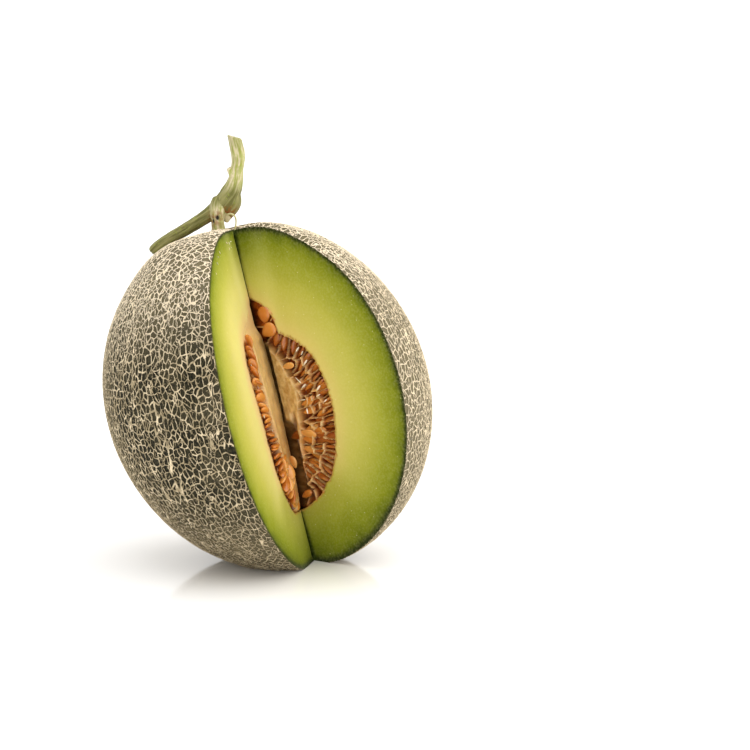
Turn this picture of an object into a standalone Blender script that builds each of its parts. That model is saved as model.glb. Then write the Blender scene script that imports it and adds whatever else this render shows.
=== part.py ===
"""A netted cantaloupe melon with one wedge cut out of it, standing on a small flat spot.

Three pieces. The melon is rind and flesh grown as one, with its raised net, its hollow middle and the
straight cuts of the missing wedge. The seed mass is the pulp that fills the hollow, with the two rows of
seeds that stand out of it on each cut face. The stem is a length of vine with the stalk that held the fruit.

The row frame has +Z up and its origin on the flat spot, and the wedge is missing towards -Y. The fruit has
a frame of its own, whose Z runs from the blossom end to the stalk, and which leans back and to the left.
"""

import math
import random

import bmesh
import bpy
from mathutils import Matrix, Quaternion, Vector

MM = 0.001
CAP_SIDES = 12

# Size of the fruit
FRUIT_LENGTH = 162.2 * MM
FRUIT_WIDTH = 144.4 * MM
SWELL_TILT = math.radians(14.3)
SWELL_AZIMUTH = math.radians(170)
SHOULDER_WAVE = 0.5 * MM
SHOULDER_WAVES = 3
SHOULDER_WAVE_START = 0.6
STALK_DIMPLE_DEPTH = 2.6 * MM
STALK_DIMPLE_SPREAD = 0.24
SHOULDER_SWELL = 1.4 * MM
SHOULDER_SPREAD = 0.22
SHOULDER_WAY = Vector((-0.40, 0.05, 0.93))
BLOSSOM_DIMPLE_DEPTH = 0.8 * MM
BLOSSOM_DIMPLE_SPREAD = 0.12

# How it stands
LEAN_BACK = math.radians(7.6)
LEAN_LEFT = math.radians(11.5)
FLAT_DEPTH = 3.0 * MM
FLAT_CENTRE = Vector((5.5, -1.5, 0)) * MM

# The raised net, coarser than life
NET_CELLS = 600
NET_JITTER = 0.204
NET_HEIGHT = 1.1 * MM
NET_HALF_WIDTH = 2.1 * MM
NET_INSET_LIMIT = 0.6
NET_SEED = 4

# The missing wedge and the hollow middle
WEDGE_ANGLE = math.radians(66.8)
WEDGE_EDGE = Vector((2.8, 1.3, 0)) * MM
HOLLOW_LENGTH = 100 * MM
HOLLOW_WIDTH = 64 * MM
HOLLOW_CENTRE = Vector((0, 0, -5)) * MM
HOLLOW_TAPER = 0.2
HOLLOW_SEGMENTS = 28
HOLLOW_RINGS = 16
FIT_GAP = 0.4 * MM
CUTTER_REACH = 120 * MM

# The seed mass
PULP_SETBACK = 2.5 * MM
CREVICE_WIDTH = 3.0 * MM
CREVICE_DEPTH = 9.0 * MM
BAND_OFFSET = 7.4 * MM
BAND_HALF_WIDTH = 4.6 * MM
BAND_HALF_THICKNESS = 3.4 * MM
BAND_HALF_LENGTH = 43 * MM
BAND_BEND = 0.35
BAND_SIDES = 10
BAND_RINGS = 14
SEED_LENGTH = 10.5 * MM
SEED_WIDTH = 4.8 * MM
SEED_THICKNESS = 2.3 * MM
SEED_TAPER = 0.45
SEED_SIDES = 6
SEED_RINGS = 5

# The rows of seeds on each cut face: how far in from the hollow's wall, and how many
SEED_ROWS = ((6.6 * MM, 21), (15.5 * MM, 15))
SEED_SWING = 76
SEED_STRAY = 2
SEED_SCATTER = 1.0 * MM
SEED_DEPTHS = (1.8 * MM, 2.6 * MM)
SEED_RISE = 0.8
SEED_RISE_STRAY = 0.1
SEED_ROLLS = (0.2, 1.2)
SEED_SIZES = (0.88, 1.0)
SEED_SEED = 11

# The stem
STALK_FOOT = Vector((-3.6, 4.2, 0)) * MM
STALK_SEAT_DEPTH = 0.8 * MM
STALK_SEAT_REACH = 6.0 * MM
STEM_YAW = math.radians(-20)
STEM_SIDES = 12
STEM_RIBS = 5
STEM_RIB_HEIGHT = 0.07
VINE_STEPS = 2
NUB_SIDES = 6

# Points of the stem's three parts and the radius at each, in millimetres from the stalk's foot
STALK_PATH = (
    (0.0, 0.0, 0.0, 3.6), (0.0, 0.0, 1.6, 3.1), (-0.3, 0.0, 5.0, 2.9),
    (-0.5, 0.3, 9.0, 3.2), (-0.6, 1.2, 12.4, 3.3), (0.0, 2.4, 15.0, 2.2),
)
VINE_PATH = (
    (-29.7, 4.4, -8.0, 2.5), (-23.1, 4.2, -3.3, 2.7), (-15.1, 4.0, 1.5, 2.8),
    (-5.8, 3.8, 7.2, 3.1), (1.3, 3.8, 12.8, 4.3), (5.8, 3.8, 18.8, 4.3),
    (7.7, 3.8, 24.0, 3.4), (8.5, 3.4, 29.0, 2.8), (9.1, 3.0, 33.8, 3.0),
    (8.5, 2.8, 38.8, 3.2), (7.4, 2.8, 43.4, 3.4),
)
SCAR_PATH = (
    (7.0, 4.0, 19.0, 2.8), (6.3, 3.9, 14.0, 3.9), (5.0, 3.6, 10.0, 3.4), (3.8, 3.4, 7.2, 2.0),
)
NUB_PATH = ((7.0, 3.0, 25.4, 2.0), (4.6, 2.6, 29.6, 1.2))

# Colour, roughness
MELON_LOOK = ((0.38, 0.34, 0.22, 1), 0.6)
SEED_LOOK = ((0.62, 0.30, 0.08, 1), 0.35)
STEM_LOOK = ((0.34, 0.31, 0.13, 1), 0.7)


def clear_scene():
    for thing in list(bpy.data.objects):
        bpy.data.objects.remove(thing)


def look(name, colour_and_roughness):
    colour, roughness = colour_and_roughness
    material = bpy.data.materials.new(name)
    material.use_nodes = True
    shader = material.node_tree.nodes["Principled BSDF"]
    shader.inputs["Base Color"].default_value = colour
    shader.inputs["Roughness"].default_value = roughness
    shader.inputs["Metallic"].default_value = 0
    material.diffuse_color = colour
    return material


def add_object(name, mesh, parent=None, material=None):
    thing = bpy.data.objects.new(name, mesh)
    bpy.context.scene.collection.objects.link(thing)
    thing.parent = parent
    if material:
        mesh.materials.append(material)
    return thing


def add_frame(name, location, rotation, parent=None):
    frame = bpy.data.objects.new(name, None)
    bpy.context.scene.collection.objects.link(frame)
    frame.parent = parent
    frame.location = location
    frame.rotation_mode = "QUATERNION"
    frame.rotation_quaternion = rotation
    return frame


def add_cutter(name, mesh, parent=None):
    cutter = add_object(name, mesh, parent)
    cutter.hide_render = True
    cutter.display_type = "WIRE"
    return cutter


def cut_away(thing, cutter):
    modifier = thing.modifiers.new(cutter.name, "BOOLEAN")
    modifier.operation = "DIFFERENCE"
    modifier.solver = "EXACT"
    modifier.object = cutter


def mesh_from(name, points, faces, smooth=False):
    mesh = bpy.data.meshes.new(name)
    mesh.from_pydata([tuple(point) for point in points], [], faces)
    shape = bmesh.new()
    shape.from_mesh(mesh)
    return finished_mesh(shape, mesh, smooth)


def finished_mesh(shape, mesh, smooth):
    """Writes a closed shape into a mesh, facing out, with its rounded faces shaded smooth."""
    bmesh.ops.recalc_face_normals(shape, faces=shape.faces)
    for face in shape.faces:
        face.smooth = smooth and len(face.verts) < CAP_SIDES
    shape.to_mesh(mesh)
    shape.free()
    return mesh


# The fruit's surface


def swell_axis():
    """The long axis of the fruit, which lies a little off the line from stalk to blossom end."""
    flat = Vector((math.cos(SWELL_AZIMUTH), math.sin(SWELL_AZIMUTH), 0))
    return flat * math.sin(SWELL_TILT) + Vector((0, 0, math.cos(SWELL_TILT)))


def skin_radius(direction):
    """Distance from the fruit's centre to its skin, along a unit direction."""
    along = direction.dot(swell_axis())
    half_length, half_width = FRUIT_LENGTH / 2, FRUIT_WIDTH / 2
    radius = 1 / math.sqrt((along / half_length) ** 2 + (1 - along**2) / half_width**2)
    stalk = STALK_FOOT + Vector((0, 0, FRUIT_LENGTH / 2))
    from_stalk = direction.angle(stalk)
    from_blossom = direction.angle(Vector((0, 0, -1)))
    radius -= STALK_DIMPLE_DEPTH * math.exp(-((from_stalk / STALK_DIMPLE_SPREAD) ** 2))
    radius += SHOULDER_SWELL * math.exp(-((direction.angle(SHOULDER_WAY) / SHOULDER_SPREAD) ** 2))
    radius -= BLOSSOM_DIMPLE_DEPTH * math.exp(-((from_blossom / BLOSSOM_DIMPLE_SPREAD) ** 2))
    turn = math.atan2(direction.y, direction.x)
    wave = math.sin(SHOULDER_WAVES * turn + SHOULDER_WAVE_START)
    return radius + SHOULDER_WAVE * wave * (1 - direction.z**2)


def skin_point(direction, lift=0.0):
    unit = direction.normalized()
    return unit * (skin_radius(unit) + lift)


# The net


def net_centres():
    """Middles of the net's cells, as unit directions spread evenly over a ball and then shaken."""
    draw = random.Random(NET_SEED)
    golden = math.pi * (3 - math.sqrt(5))
    shake = NET_JITTER * math.sqrt(4 * math.pi / NET_CELLS)
    centres = []
    for number in range(NET_CELLS):
        height = 1 - (2 * number + 1) / NET_CELLS
        ring = math.sqrt(1 - height**2)
        turn = number * golden
        spot = Vector((ring * math.cos(turn), ring * math.sin(turn), height))
        spot += Vector((draw.gauss(0, 1), draw.gauss(0, 1), draw.gauss(0, 1))) * shake
        centres.append(spot.normalized())
    return centres


def net_cells(centres):
    """The unit directions of all the cells' corners and, for each cell, its corners in order round it."""
    hull = bmesh.new()
    for centre in centres:
        hull.verts.new(centre)
    bmesh.ops.convex_hull(hull, input=hull.verts)
    bmesh.ops.triangulate(hull, faces=hull.faces)
    bmesh.ops.recalc_face_normals(hull, faces=hull.faces)
    hull.faces.index_update()
    corners = []
    for face in hull.faces:
        a, b, c = (vertex.co for vertex in face.verts)
        corner = (b - a).cross(c - a)
        corners.append((corner if corner.dot(a) > 0 else -corner).normalized())
    cells = [[face.index for face in faces_round(vertex)] for vertex in hull.verts]
    hull.free()
    return corners, cells


def faces_round(vertex):
    first = vertex.link_loops[0]
    faces = [first.face]
    loop = first.link_loop_prev.link_loop_radial_next
    while loop != first:
        faces.append(loop.face)
        loop = loop.link_loop_prev.link_loop_radial_next
    return faces


def relaxed(centres):
    """The same cells with each middle moved to the average of its corners, which evens them out."""
    corners, cells = net_cells(centres)
    return [sum((corners[number] for number in ring), Vector()).normalized() for ring in cells]


def netted_skin():
    """The whole fruit's outside: each cell has a low floor and slopes up to the crest that it shares."""
    centres = relaxed(net_centres())
    directions, cells = net_cells(centres)
    points = [skin_point(direction, NET_HEIGHT) for direction in directions]
    faces = []
    for ring in cells:
        floor_middle = skin_point(sum((directions[number] for number in ring), Vector()))
        floor = []
        for corner in ring:
            rim = skin_point(directions[corner])
            inwards = min(NET_HALF_WIDTH / (rim - floor_middle).length, NET_INSET_LIMIT)
            floor.append(len(points))
            points.append(skin_point(rim.lerp(floor_middle, inwards)))
        faces.append(floor)
        for step, corner in enumerate(ring):
            after = (step + 1) % len(ring)
            faces.append((floor[step], floor[after], ring[after], corner))
    return mesh_from("netted_skin", points, faces, smooth=True)


# The wedge and the hollow


def wedge_mesh(name, edge, angle=WEDGE_ANGLE):
    """A three-sided prism along the fruit, with one long edge at edge and its middle towards -Y."""
    half = angle / 2
    outline = [edge]
    for side in (-1, 1):
        outline.append(edge + CUTTER_REACH * Vector((side * math.sin(half), -math.cos(half), 0)))
    points = [point + Vector((0, 0, end * CUTTER_REACH)) for end in (-1, 1) for point in outline]
    faces = [(0, 1, 2), (3, 4, 5), (0, 1, 4, 3), (1, 2, 5, 4), (2, 0, 3, 5)]
    return mesh_from(name, points, faces)


def hollow_mesh(name, shrink=0.0):
    """The hollow, a ball drawn out along the fruit and narrower towards the stalk."""
    shape = bmesh.new()
    bmesh.ops.create_uvsphere(shape, u_segments=HOLLOW_SEGMENTS, v_segments=HOLLOW_RINGS, radius=1)
    for vertex in shape.verts:
        vertex.co.xy *= 1 - HOLLOW_TAPER * vertex.co.z
    size = Vector((HOLLOW_WIDTH / 2, HOLLOW_WIDTH / 2, HOLLOW_LENGTH / 2))
    size -= Vector((1, 1, 1)) * shrink
    bmesh.ops.scale(shape, vec=size, verts=shape.verts)
    bmesh.ops.translate(shape, vec=HOLLOW_CENTRE, verts=shape.verts)
    return finished_mesh(shape, bpy.data.meshes.new(name), smooth=True)


def box_mesh(name, low, high):
    points = [Vector((x, y, z)) for x in (low.x, high.x) for y in (low.y, high.y) for z in (low.z, high.z)]
    faces = [(0, 1, 3, 2), (4, 6, 7, 5), (0, 4, 5, 1), (2, 3, 7, 6), (0, 2, 6, 4), (1, 5, 7, 3)]
    return mesh_from(name, points, faces)


# Tubes for the stem and the pulp's bands


def smooth_path(stations, steps):
    """Points on a smooth curve through the stations, which are x, y, z and radius in millimetres."""
    knots = [(Vector(station[:3]) * MM, station[3] * MM) for station in stations]
    knots = [knots[0], *knots, knots[-1]]
    path = []
    for number in range(1, len(knots) - 2):
        for step in range(steps):
            path.append(between(knots[number - 1:number + 3], step / steps))
    path.append(knots[-1])
    return path


def between(four, share):
    """The Catmull-Rom blend of four knots, each a point and a radius."""
    weights = (
        -0.5 * share + share**2 - 0.5 * share**3,
        1 - 2.5 * share**2 + 1.5 * share**3,
        0.5 * share + 2 * share**2 - 1.5 * share**3,
        -0.5 * share**2 + 0.5 * share**3,
    )
    point = sum((knot[0] * weight for knot, weight in zip(four, weights)), Vector())
    return point, sum(knot[1] * weight for knot, weight in zip(four, weights))


def ribbed_tube(name, path, sides=STEM_SIDES, ribs=STEM_RIBS, rib_height=STEM_RIB_HEIGHT):
    """A closed tube along a path of points and radii, with ribs that run its whole length."""
    points = []
    across = Vector((0, 1, 0))
    for number, (place, radius) in enumerate(path):
        before, after = path[max(number - 1, 0)][0], path[min(number + 1, len(path) - 1)][0]
        along = (after - before).normalized()
        across = (across - along * across.dot(along)).normalized()
        other = along.cross(across)
        for side in range(sides):
            turn = 2 * math.pi * side / sides
            reach = radius * (1 + rib_height * math.cos(ribs * turn))
            points.append(place + (across * math.cos(turn) + other * math.sin(turn)) * reach)
    faces = [tuple(range(sides)), tuple(range(len(points) - sides, len(points)))]
    for ring in range(len(path) - 1):
        for side in range(sides):
            first, second = ring * sides + side, ring * sides + (side + 1) % sides
            faces.append((first, second, second + sides, first + sides))
    return mesh_from(name, points, faces, smooth=True)


# Seeds


def cut_face(side):
    """The missing wedge's cut on one side: the way out along it, and the way it faces."""
    half = WEDGE_ANGLE / 2
    outwards = Vector((side * math.sin(half), -math.cos(half), 0))
    facing = Vector((-side * math.cos(half), -math.sin(half), 0))
    return outwards, facing


def seed_mesh(name):
    """A flattened drop, its point at -X."""
    shape = bmesh.new()
    bmesh.ops.create_uvsphere(shape, u_segments=SEED_SIDES, v_segments=SEED_RINGS, radius=0.5)
    bmesh.ops.rotate(shape, matrix=Matrix.Rotation(math.pi / 2, 3, "Y"), verts=shape.verts)
    for vertex in shape.verts:
        taper = 1 - SEED_TAPER * (0.5 - vertex.co.x) ** 2
        vertex.co.y *= SEED_WIDTH * taper
        vertex.co.z *= SEED_THICKNESS * taper
        vertex.co.x *= SEED_LENGTH
    return finished_mesh(shape, bpy.data.meshes.new(name), smooth=True)


def hollow_wall(swing):
    """A point of the hollow's wall, out and up from its middle, and the way straight out of the wall there."""
    taper = 1 - HOLLOW_TAPER * math.sin(swing)
    wall = Vector((math.cos(swing) * taper * HOLLOW_WIDTH, 0, math.sin(swing) * HOLLOW_LENGTH)) / 2
    steep = Vector((wall.x / HOLLOW_WIDTH**2, 0, wall.z / HOLLOW_LENGTH**2)).normalized()
    return wall, steep


def seed_places():
    """Place, turn and size of each seed: rows set in from the hollow's wall, each seed pointing to it."""
    draw = random.Random(SEED_SEED)
    places = []
    for side in (-1, 1):
        outwards, facing = cut_face(side)
        middle = HOLLOW_CENTRE + facing * WEDGE_EDGE.dot(facing)
        for inset, count in SEED_ROWS:
            for number in range(count):
                swing = SEED_SWING * (2 * (number + 0.5) / count - 1) + draw.uniform(-SEED_STRAY, SEED_STRAY)
                wall, steep = hollow_wall(math.radians(swing))
                spot = wall - steep * (inset + draw.uniform(0, SEED_SCATTER))
                place = middle + outwards * spot.x + Vector((0, 0, spot.z))
                place -= facing * draw.uniform(*SEED_DEPTHS)
                rise = steep.z * SEED_RISE + draw.uniform(-SEED_RISE_STRAY, SEED_RISE_STRAY)
                way = (outwards * steep.x + Vector((0, 0, rise))).normalized()
                roll = draw.uniform(*SEED_ROLLS) * draw.choice((-1, 1))
                places.append((place, turned_to(way, facing, roll), draw.uniform(*SEED_SIZES)))
    return places


def turned_to(way, facing, roll):
    """The rotation that lays X along way and Z along facing, then rolls about X."""
    across = facing.cross(way).normalized()
    up = way.cross(across)
    basis = Matrix((way, across, up)).transposed()
    return basis.to_quaternion() @ Quaternion((1, 0, 0), roll)


def pulp_band(name, side):
    """The smooth band of pulp between the wedge's edge and the seeds, as long as the hollow."""
    outwards, facing = cut_face(side)
    shape = bmesh.new()
    bmesh.ops.create_uvsphere(shape, u_segments=BAND_SIDES, v_segments=BAND_RINGS, radius=1)
    for vertex in shape.verts:
        out, up, along = vertex.co
        bend = 1 - BAND_BEND * along**2
        place = WEDGE_EDGE + outwards * (BAND_OFFSET * bend + BAND_HALF_WIDTH * out)
        place += facing * (BAND_HALF_THICKNESS * up - BAND_HALF_THICKNESS)
        vertex.co = place + Vector((0, 0, HOLLOW_CENTRE.z + BAND_HALF_LENGTH * along))
    return finished_mesh(shape, bpy.data.meshes.new(name), smooth=True)


def join_by_union(thing, members, name):
    """Unites an object with others in one Boolean on a collection, applies it and removes them."""
    group = bpy.data.collections.new(name)
    bpy.context.scene.collection.children.link(group)
    for member in members:
        bpy.context.scene.collection.objects.unlink(member)
        group.objects.link(member)
    modifier = thing.modifiers.new(name, "BOOLEAN")
    modifier.operation = "UNION"
    modifier.solver = "EXACT"
    modifier.operand_type = "COLLECTION"
    modifier.collection = group
    apply_modifiers(thing)
    for member in members:
        bpy.data.objects.remove(member)
    bpy.data.collections.remove(group)


def apply_modifiers(thing):
    bpy.context.view_layer.update()
    evaluated = thing.evaluated_get(bpy.context.evaluated_depsgraph_get())
    thing.data = bpy.data.meshes.new_from_object(evaluated)
    thing.modifiers.clear()


# The three pieces


def make_melon(fruit, stem_frame):
    melon = add_object("melon", netted_skin(), fruit, look("rind_and_flesh", MELON_LOOK))
    cut_away(melon, add_cutter("hollow_cutter", hollow_mesh("hollow_cutter"), fruit))
    cut_away(melon, add_cutter("wedge_cutter", wedge_mesh("wedge_cutter", WEDGE_EDGE), fruit))
    reach = Vector((CUTTER_REACH, CUTTER_REACH, 0))
    ground = box_mesh("ground_cutter", -reach - Vector((0, 0, CUTTER_REACH)), reach)
    cut_away(melon, add_cutter("ground_cutter", ground))
    seat = ribbed_tube("seat_cutter", seat_path(), rib_height=0)
    cut_away(melon, add_cutter("seat_cutter", seat, stem_frame))
    return melon


def stalk_seat():
    """The point of the skin, in the fruit's frame, where the stalk's foot stands."""
    direction = (STALK_FOOT + Vector((0, 0, FRUIT_LENGTH / 2))).normalized()
    return skin_point(direction) - Vector((0, 0, STALK_SEAT_DEPTH))


def seat_path():
    radius = STALK_PATH[0][3] * MM * (1 + STEM_RIB_HEIGHT) / math.cos(math.pi / STEM_SIDES) + FIT_GAP
    return [(Vector((0, 0, -FIT_GAP)), radius), (Vector((0, 0, STALK_SEAT_REACH)), radius)]


def make_seed_mass(fruit):
    ball = hollow_mesh("seed_mass", FIT_GAP)
    pulp = add_object("seed_mass", ball, fruit, look("pulp_and_seeds", SEED_LOOK))
    setback = Vector((0, PULP_SETBACK / math.sin(WEDGE_ANGLE / 2), 0))
    cut_away(pulp, add_cutter("pulp_cutter", wedge_mesh("pulp_cutter", WEDGE_EDGE + setback), fruit))
    apply_modifiers(pulp)
    members = [add_object(f"band_{side}", pulp_band("band", side), fruit) for side in (-1, 1)]
    drop = seed_mesh("seed")
    for number, (spot, turn, size) in enumerate(seed_places()):
        seed = add_object(f"seed_{number}", drop, fruit)
        seed.location = spot
        seed.rotation_mode = "QUATERNION"
        seed.rotation_quaternion = turn
        seed.scale = (size, size, size)
        members.append(seed)
    join_by_union(pulp, members, "pulp_and_seeds")
    low = WEDGE_EDGE + Vector((-CREVICE_WIDTH / 2, -CREVICE_DEPTH, -CUTTER_REACH))
    high = WEDGE_EDGE + Vector((CREVICE_WIDTH / 2, CREVICE_DEPTH, CUTTER_REACH))
    cut_away(pulp, add_cutter("crevice_cutter", box_mesh("crevice_cutter", low, high), fruit))
    return pulp


def make_stem(stem_frame):
    vine = ribbed_tube("stem", smooth_path(VINE_PATH, VINE_STEPS))
    stem = add_object("stem", vine, stem_frame, look("vine", STEM_LOOK))
    stalk = add_object("stalk", ribbed_tube("stalk", smooth_path(STALK_PATH, 1)), stem_frame)
    scar = add_object("scar", ribbed_tube("scar", smooth_path(SCAR_PATH, 1), rib_height=0), stem_frame)
    nub_tube = ribbed_tube("nub", smooth_path(NUB_PATH, 1), NUB_SIDES, rib_height=0)
    nub = add_object("nub", nub_tube, stem_frame)
    join_by_union(stem, [stalk, scar, nub], "vine_parts")
    return stem


def main():
    clear_scene()
    lean = Quaternion((1, 0, 0), -LEAN_BACK) @ Quaternion((0, 1, 0), -LEAN_LEFT)
    fruit = add_frame("fruit_frame", (0, 0, 0), lean)
    axis = lean @ swell_axis()
    half_length, half_width = FRUIT_LENGTH / 2, FRUIT_WIDTH / 2
    half_height = math.sqrt((axis.z * half_length) ** 2 + (1 - axis.z**2) * half_width**2)
    fruit.location = Vector((0, 0, half_height - FLAT_DEPTH)) - FLAT_CENTRE
    bpy.context.view_layer.update()
    foot = fruit.matrix_world @ stalk_seat()
    stem_frame = add_frame("stem_frame", foot, Quaternion((0, 0, 1), STEM_YAW))
    make_melon(fruit, stem_frame)
    make_seed_mass(fruit)
    make_stem(stem_frame)


main()
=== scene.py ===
import math
import random

import bpy
import numpy as np
from mathutils import Matrix, Quaternion, Vector, noise


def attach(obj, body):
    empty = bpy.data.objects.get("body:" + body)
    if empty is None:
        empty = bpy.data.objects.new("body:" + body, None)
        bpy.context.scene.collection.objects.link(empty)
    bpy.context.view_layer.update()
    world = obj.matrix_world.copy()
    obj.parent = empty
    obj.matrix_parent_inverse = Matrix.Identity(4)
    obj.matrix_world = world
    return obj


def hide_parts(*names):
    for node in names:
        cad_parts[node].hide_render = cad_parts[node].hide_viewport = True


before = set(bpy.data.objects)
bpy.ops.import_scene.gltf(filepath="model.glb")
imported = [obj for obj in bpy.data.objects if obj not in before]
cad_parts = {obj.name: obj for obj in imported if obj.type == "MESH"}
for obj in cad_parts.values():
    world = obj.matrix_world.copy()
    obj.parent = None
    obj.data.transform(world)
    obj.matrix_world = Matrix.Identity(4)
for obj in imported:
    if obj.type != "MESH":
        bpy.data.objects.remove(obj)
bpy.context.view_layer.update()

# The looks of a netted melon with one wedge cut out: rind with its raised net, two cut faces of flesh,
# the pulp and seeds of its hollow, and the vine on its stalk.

MM = 0.001

# Size and stance of the fruit, as in the solids
FRUIT_LENGTH = 162.2 * MM
FRUIT_WIDTH = 144.4 * MM
SWELL_TILT = math.radians(14.3)
SWELL_AZIMUTH = math.radians(170)
SHOULDER_WAVE = 0.5 * MM
STALK_DIMPLE_DEPTH = 2.6 * MM
STALK_DIMPLE_SPREAD = 0.24
SHOULDER_SWELL = 1.4 * MM
SHOULDER_SPREAD = 0.22
SHOULDER_WAY = Vector((-0.40, 0.05, 0.93))
BLOSSOM_DIMPLE_DEPTH = 0.8 * MM
BLOSSOM_DIMPLE_SPREAD = 0.12
LEAN_BACK = math.radians(7.6)
LEAN_LEFT = math.radians(11.5)
FLAT_DEPTH = 3.0 * MM
FLAT_CENTRE = Vector((5.5, -1.5, 0)) * MM

# The missing wedge and the hollow, as in the solids
WEDGE_ANGLE = math.radians(66.8)
WEDGE_EDGE = Vector((2.8, 1.3, 0)) * MM
HOLLOW_LENGTH = 100 * MM
HOLLOW_CENTRE = Vector((0, 0, -5)) * MM
# The hollow's edge on each cut, in millimetres up from the hollow's middle and out from the wedge's edge
HOLLOW_EDGE = {
    -1: (
        (-50, 3), (-49, 11), (-47, 14.5), (-39, 19.5), (-28, 24), (-16, 25.5), (-6, 25.8), (5, 27),
        (14, 28.5), (25, 28.2), (32, 26), (36, 22), (40, 14), (44, 7), (48, 2), (50, 0.5),
    ),
    1: (
        (-50, 1), (-48, 6), (-44, 13.5), (-36, 22), (-26, 27.5), (-15, 30.5), (-5, 32), (4, 31.7),
        (11, 30.3), (18, 28.3), (24, 24.5), (29, 17.5), (32.5, 11.4), (38, 10.8), (43, 9.2), (47, 5),
        (50, 0.5),
    ),
}
CREASE_WIDTH = 0.9 * MM
CREASE_DEPTH = 1.4 * MM

# The rind's mesh and its net
RIND_SECTORS = 6
SECTOR_COLUMNS = 176
RIND_ROWS = 545
SKIN_LIFT = 0.5 * MM
NET_RISE = 0.5 * MM
NET_DRAW_OUT = 0.72
EDGE_ROLL = 1.5 * MM
EDGE_ROLL_WIDTH = 2.8 * MM
CAP_FROM = math.radians(47)
CAP_RAGGED = 0.12
CAP_SHIFT = 0.5
RING_REACH = 24 * MM
RING_POWER = 1.4
# The patches in which the net is shaken, and how far: widely, then finely
NET_SWAY = (13 * MM, 2.8 * MM)
NET_WOBBLE = (1.6 * MM, 0.54 * MM)
NET_CELL = 2.6 * MM
NET_RANDOMNESS = 0.9
NET_LINE = 0.38 * MM
CRACK_GAP = 9.5 * MM
CRACK_LINE = 0.46 * MM
CRACK_SWING = 2.6 * CRACK_GAP
TWIG_CELL = 1.7 * MM
TWIG_LINE = 0.28 * MM
SCAR_CELL = 17 * MM
SCAR_SIZE = 0.75 * MM
SCAR_SHARE = 0.12
# Where the rind is painted paler, in metres round its girth from the wedge: towards the right as painted
# light from the right, towards the left edge as a painted sheen
PAINTED_RIGHT_LIGHT_SPAN = (0.06, 0.13)
PAINTED_LEFT_SHEEN_SPAN = (0.358, 0.318)

# The cut flesh
FLESH_STEPS = 46
WALL_STEPS = 8
WALL_DEPTH = 5.0 * MM
WALL_FLARE = 0.5 * MM
FLESH_WAVE = 0.16 * MM
SCALLOP = 0.7 * MM
DOT_CELL = 3.5 * MM

# The pulp: rows and columns of its skin, then for each side how far out its smooth band reaches at
# heights from -1, the hollow's lower end, to 1, its upper end
PULP_ROWS = 360
PULP_COLUMNS = 130
PULP_TUCK = 1.2 * MM
BAND_REACH = {
    -1: ((-1.0, 9.0), (-0.8, 13.5), (-0.5, 17.6), (0.0, 19.8), (0.5, 21.0), (0.62, 20.4), (0.68, 23.5),
         (0.72, 32.0), (1.0, 32.0)),
    1: ((-1.0, 4.0), (-0.8, 6.5), (-0.4, 10.5), (-0.15, 13.0), (0.1, 15.2), (0.3, 11.5), (0.45, 8.0),
        (0.56, 3.5), (0.62, 0.5), (1.0, 0.5)),
}
BAND_RISE = {-1: 2.8 * MM, 1: 0.6 * MM}
POCKET_DEPTH = {-1: 1.0 * MM, 1: 5.0 * MM}
MEMBRANE_RISE = {-1: 0.8 * MM, 1: 4.8 * MM}
VALLEY_WIDTH = 4.8 * MM
VALLEY_DEPTH = 2.6 * MM
MEMBRANE_LINE = 0.3 * MM
POCKET_STRETCH = 2.1
CREVICE_WIDTH = 1.7 * MM
CREVICE_DEPTH = 9.0 * MM
PIT_SPAN = (-0.95, -0.12)
PIT_WIDTH = (6.0 * MM, 10.5 * MM)
PIT_DEPTH = 4.6 * MM
PIT_RIDGE = 6.4 * MM

# The seeds, in millimetres and degrees: how a seed at a height turns up from the way out, then for each
# side the rows, as inset from the hollow's edge, span of height, number, span of depth under the cut,
# share that shows its thin side, and span of tint from 0, dark, to 1, pale
SEED_LENGTH = 10.0 * MM
SEED_WIDTH = 4.9 * MM
SEED_THICKNESS = 2.1 * MM
SEED_TAPER = 0.52
SEED_SWAY = 11
THIN_ROLL = (0.9, 1.5)
FLAT_ROLL = (0, 0.5)
SEED_LENGTHS = (0.74, 0.95)
SEED_PLUMPNESS = (0.9, 1.1)
SEED_TURN = ((-50, -70), (-30, -22), (-5, 18), (15, 30), (30, 52), (45, 80))
SEED_ROWS = {
    -1: (
        (4.3, (-46, 34), 27, (-1.9, -1.0), 1.0, (0.3, 0.95)),
        (10.0, (-42, -24), 5, (-2.4, -1.6), 0.7, (0.6, 1.0)),
    ),
    1: (
        (5.0, (-46, 26), 24, (2.2, 4.4), 0.7, (0.0, 0.5)),
        (11.0, (-44, 24), 21, (2.0, 4.2), 0.55, (0.1, 0.8)),
        (15.5, (-30, 9), 8, (0.9, 2.2), 0.15, (0.5, 1.0)),
    ),
}
PALEST_SEED = 0.9
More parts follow.
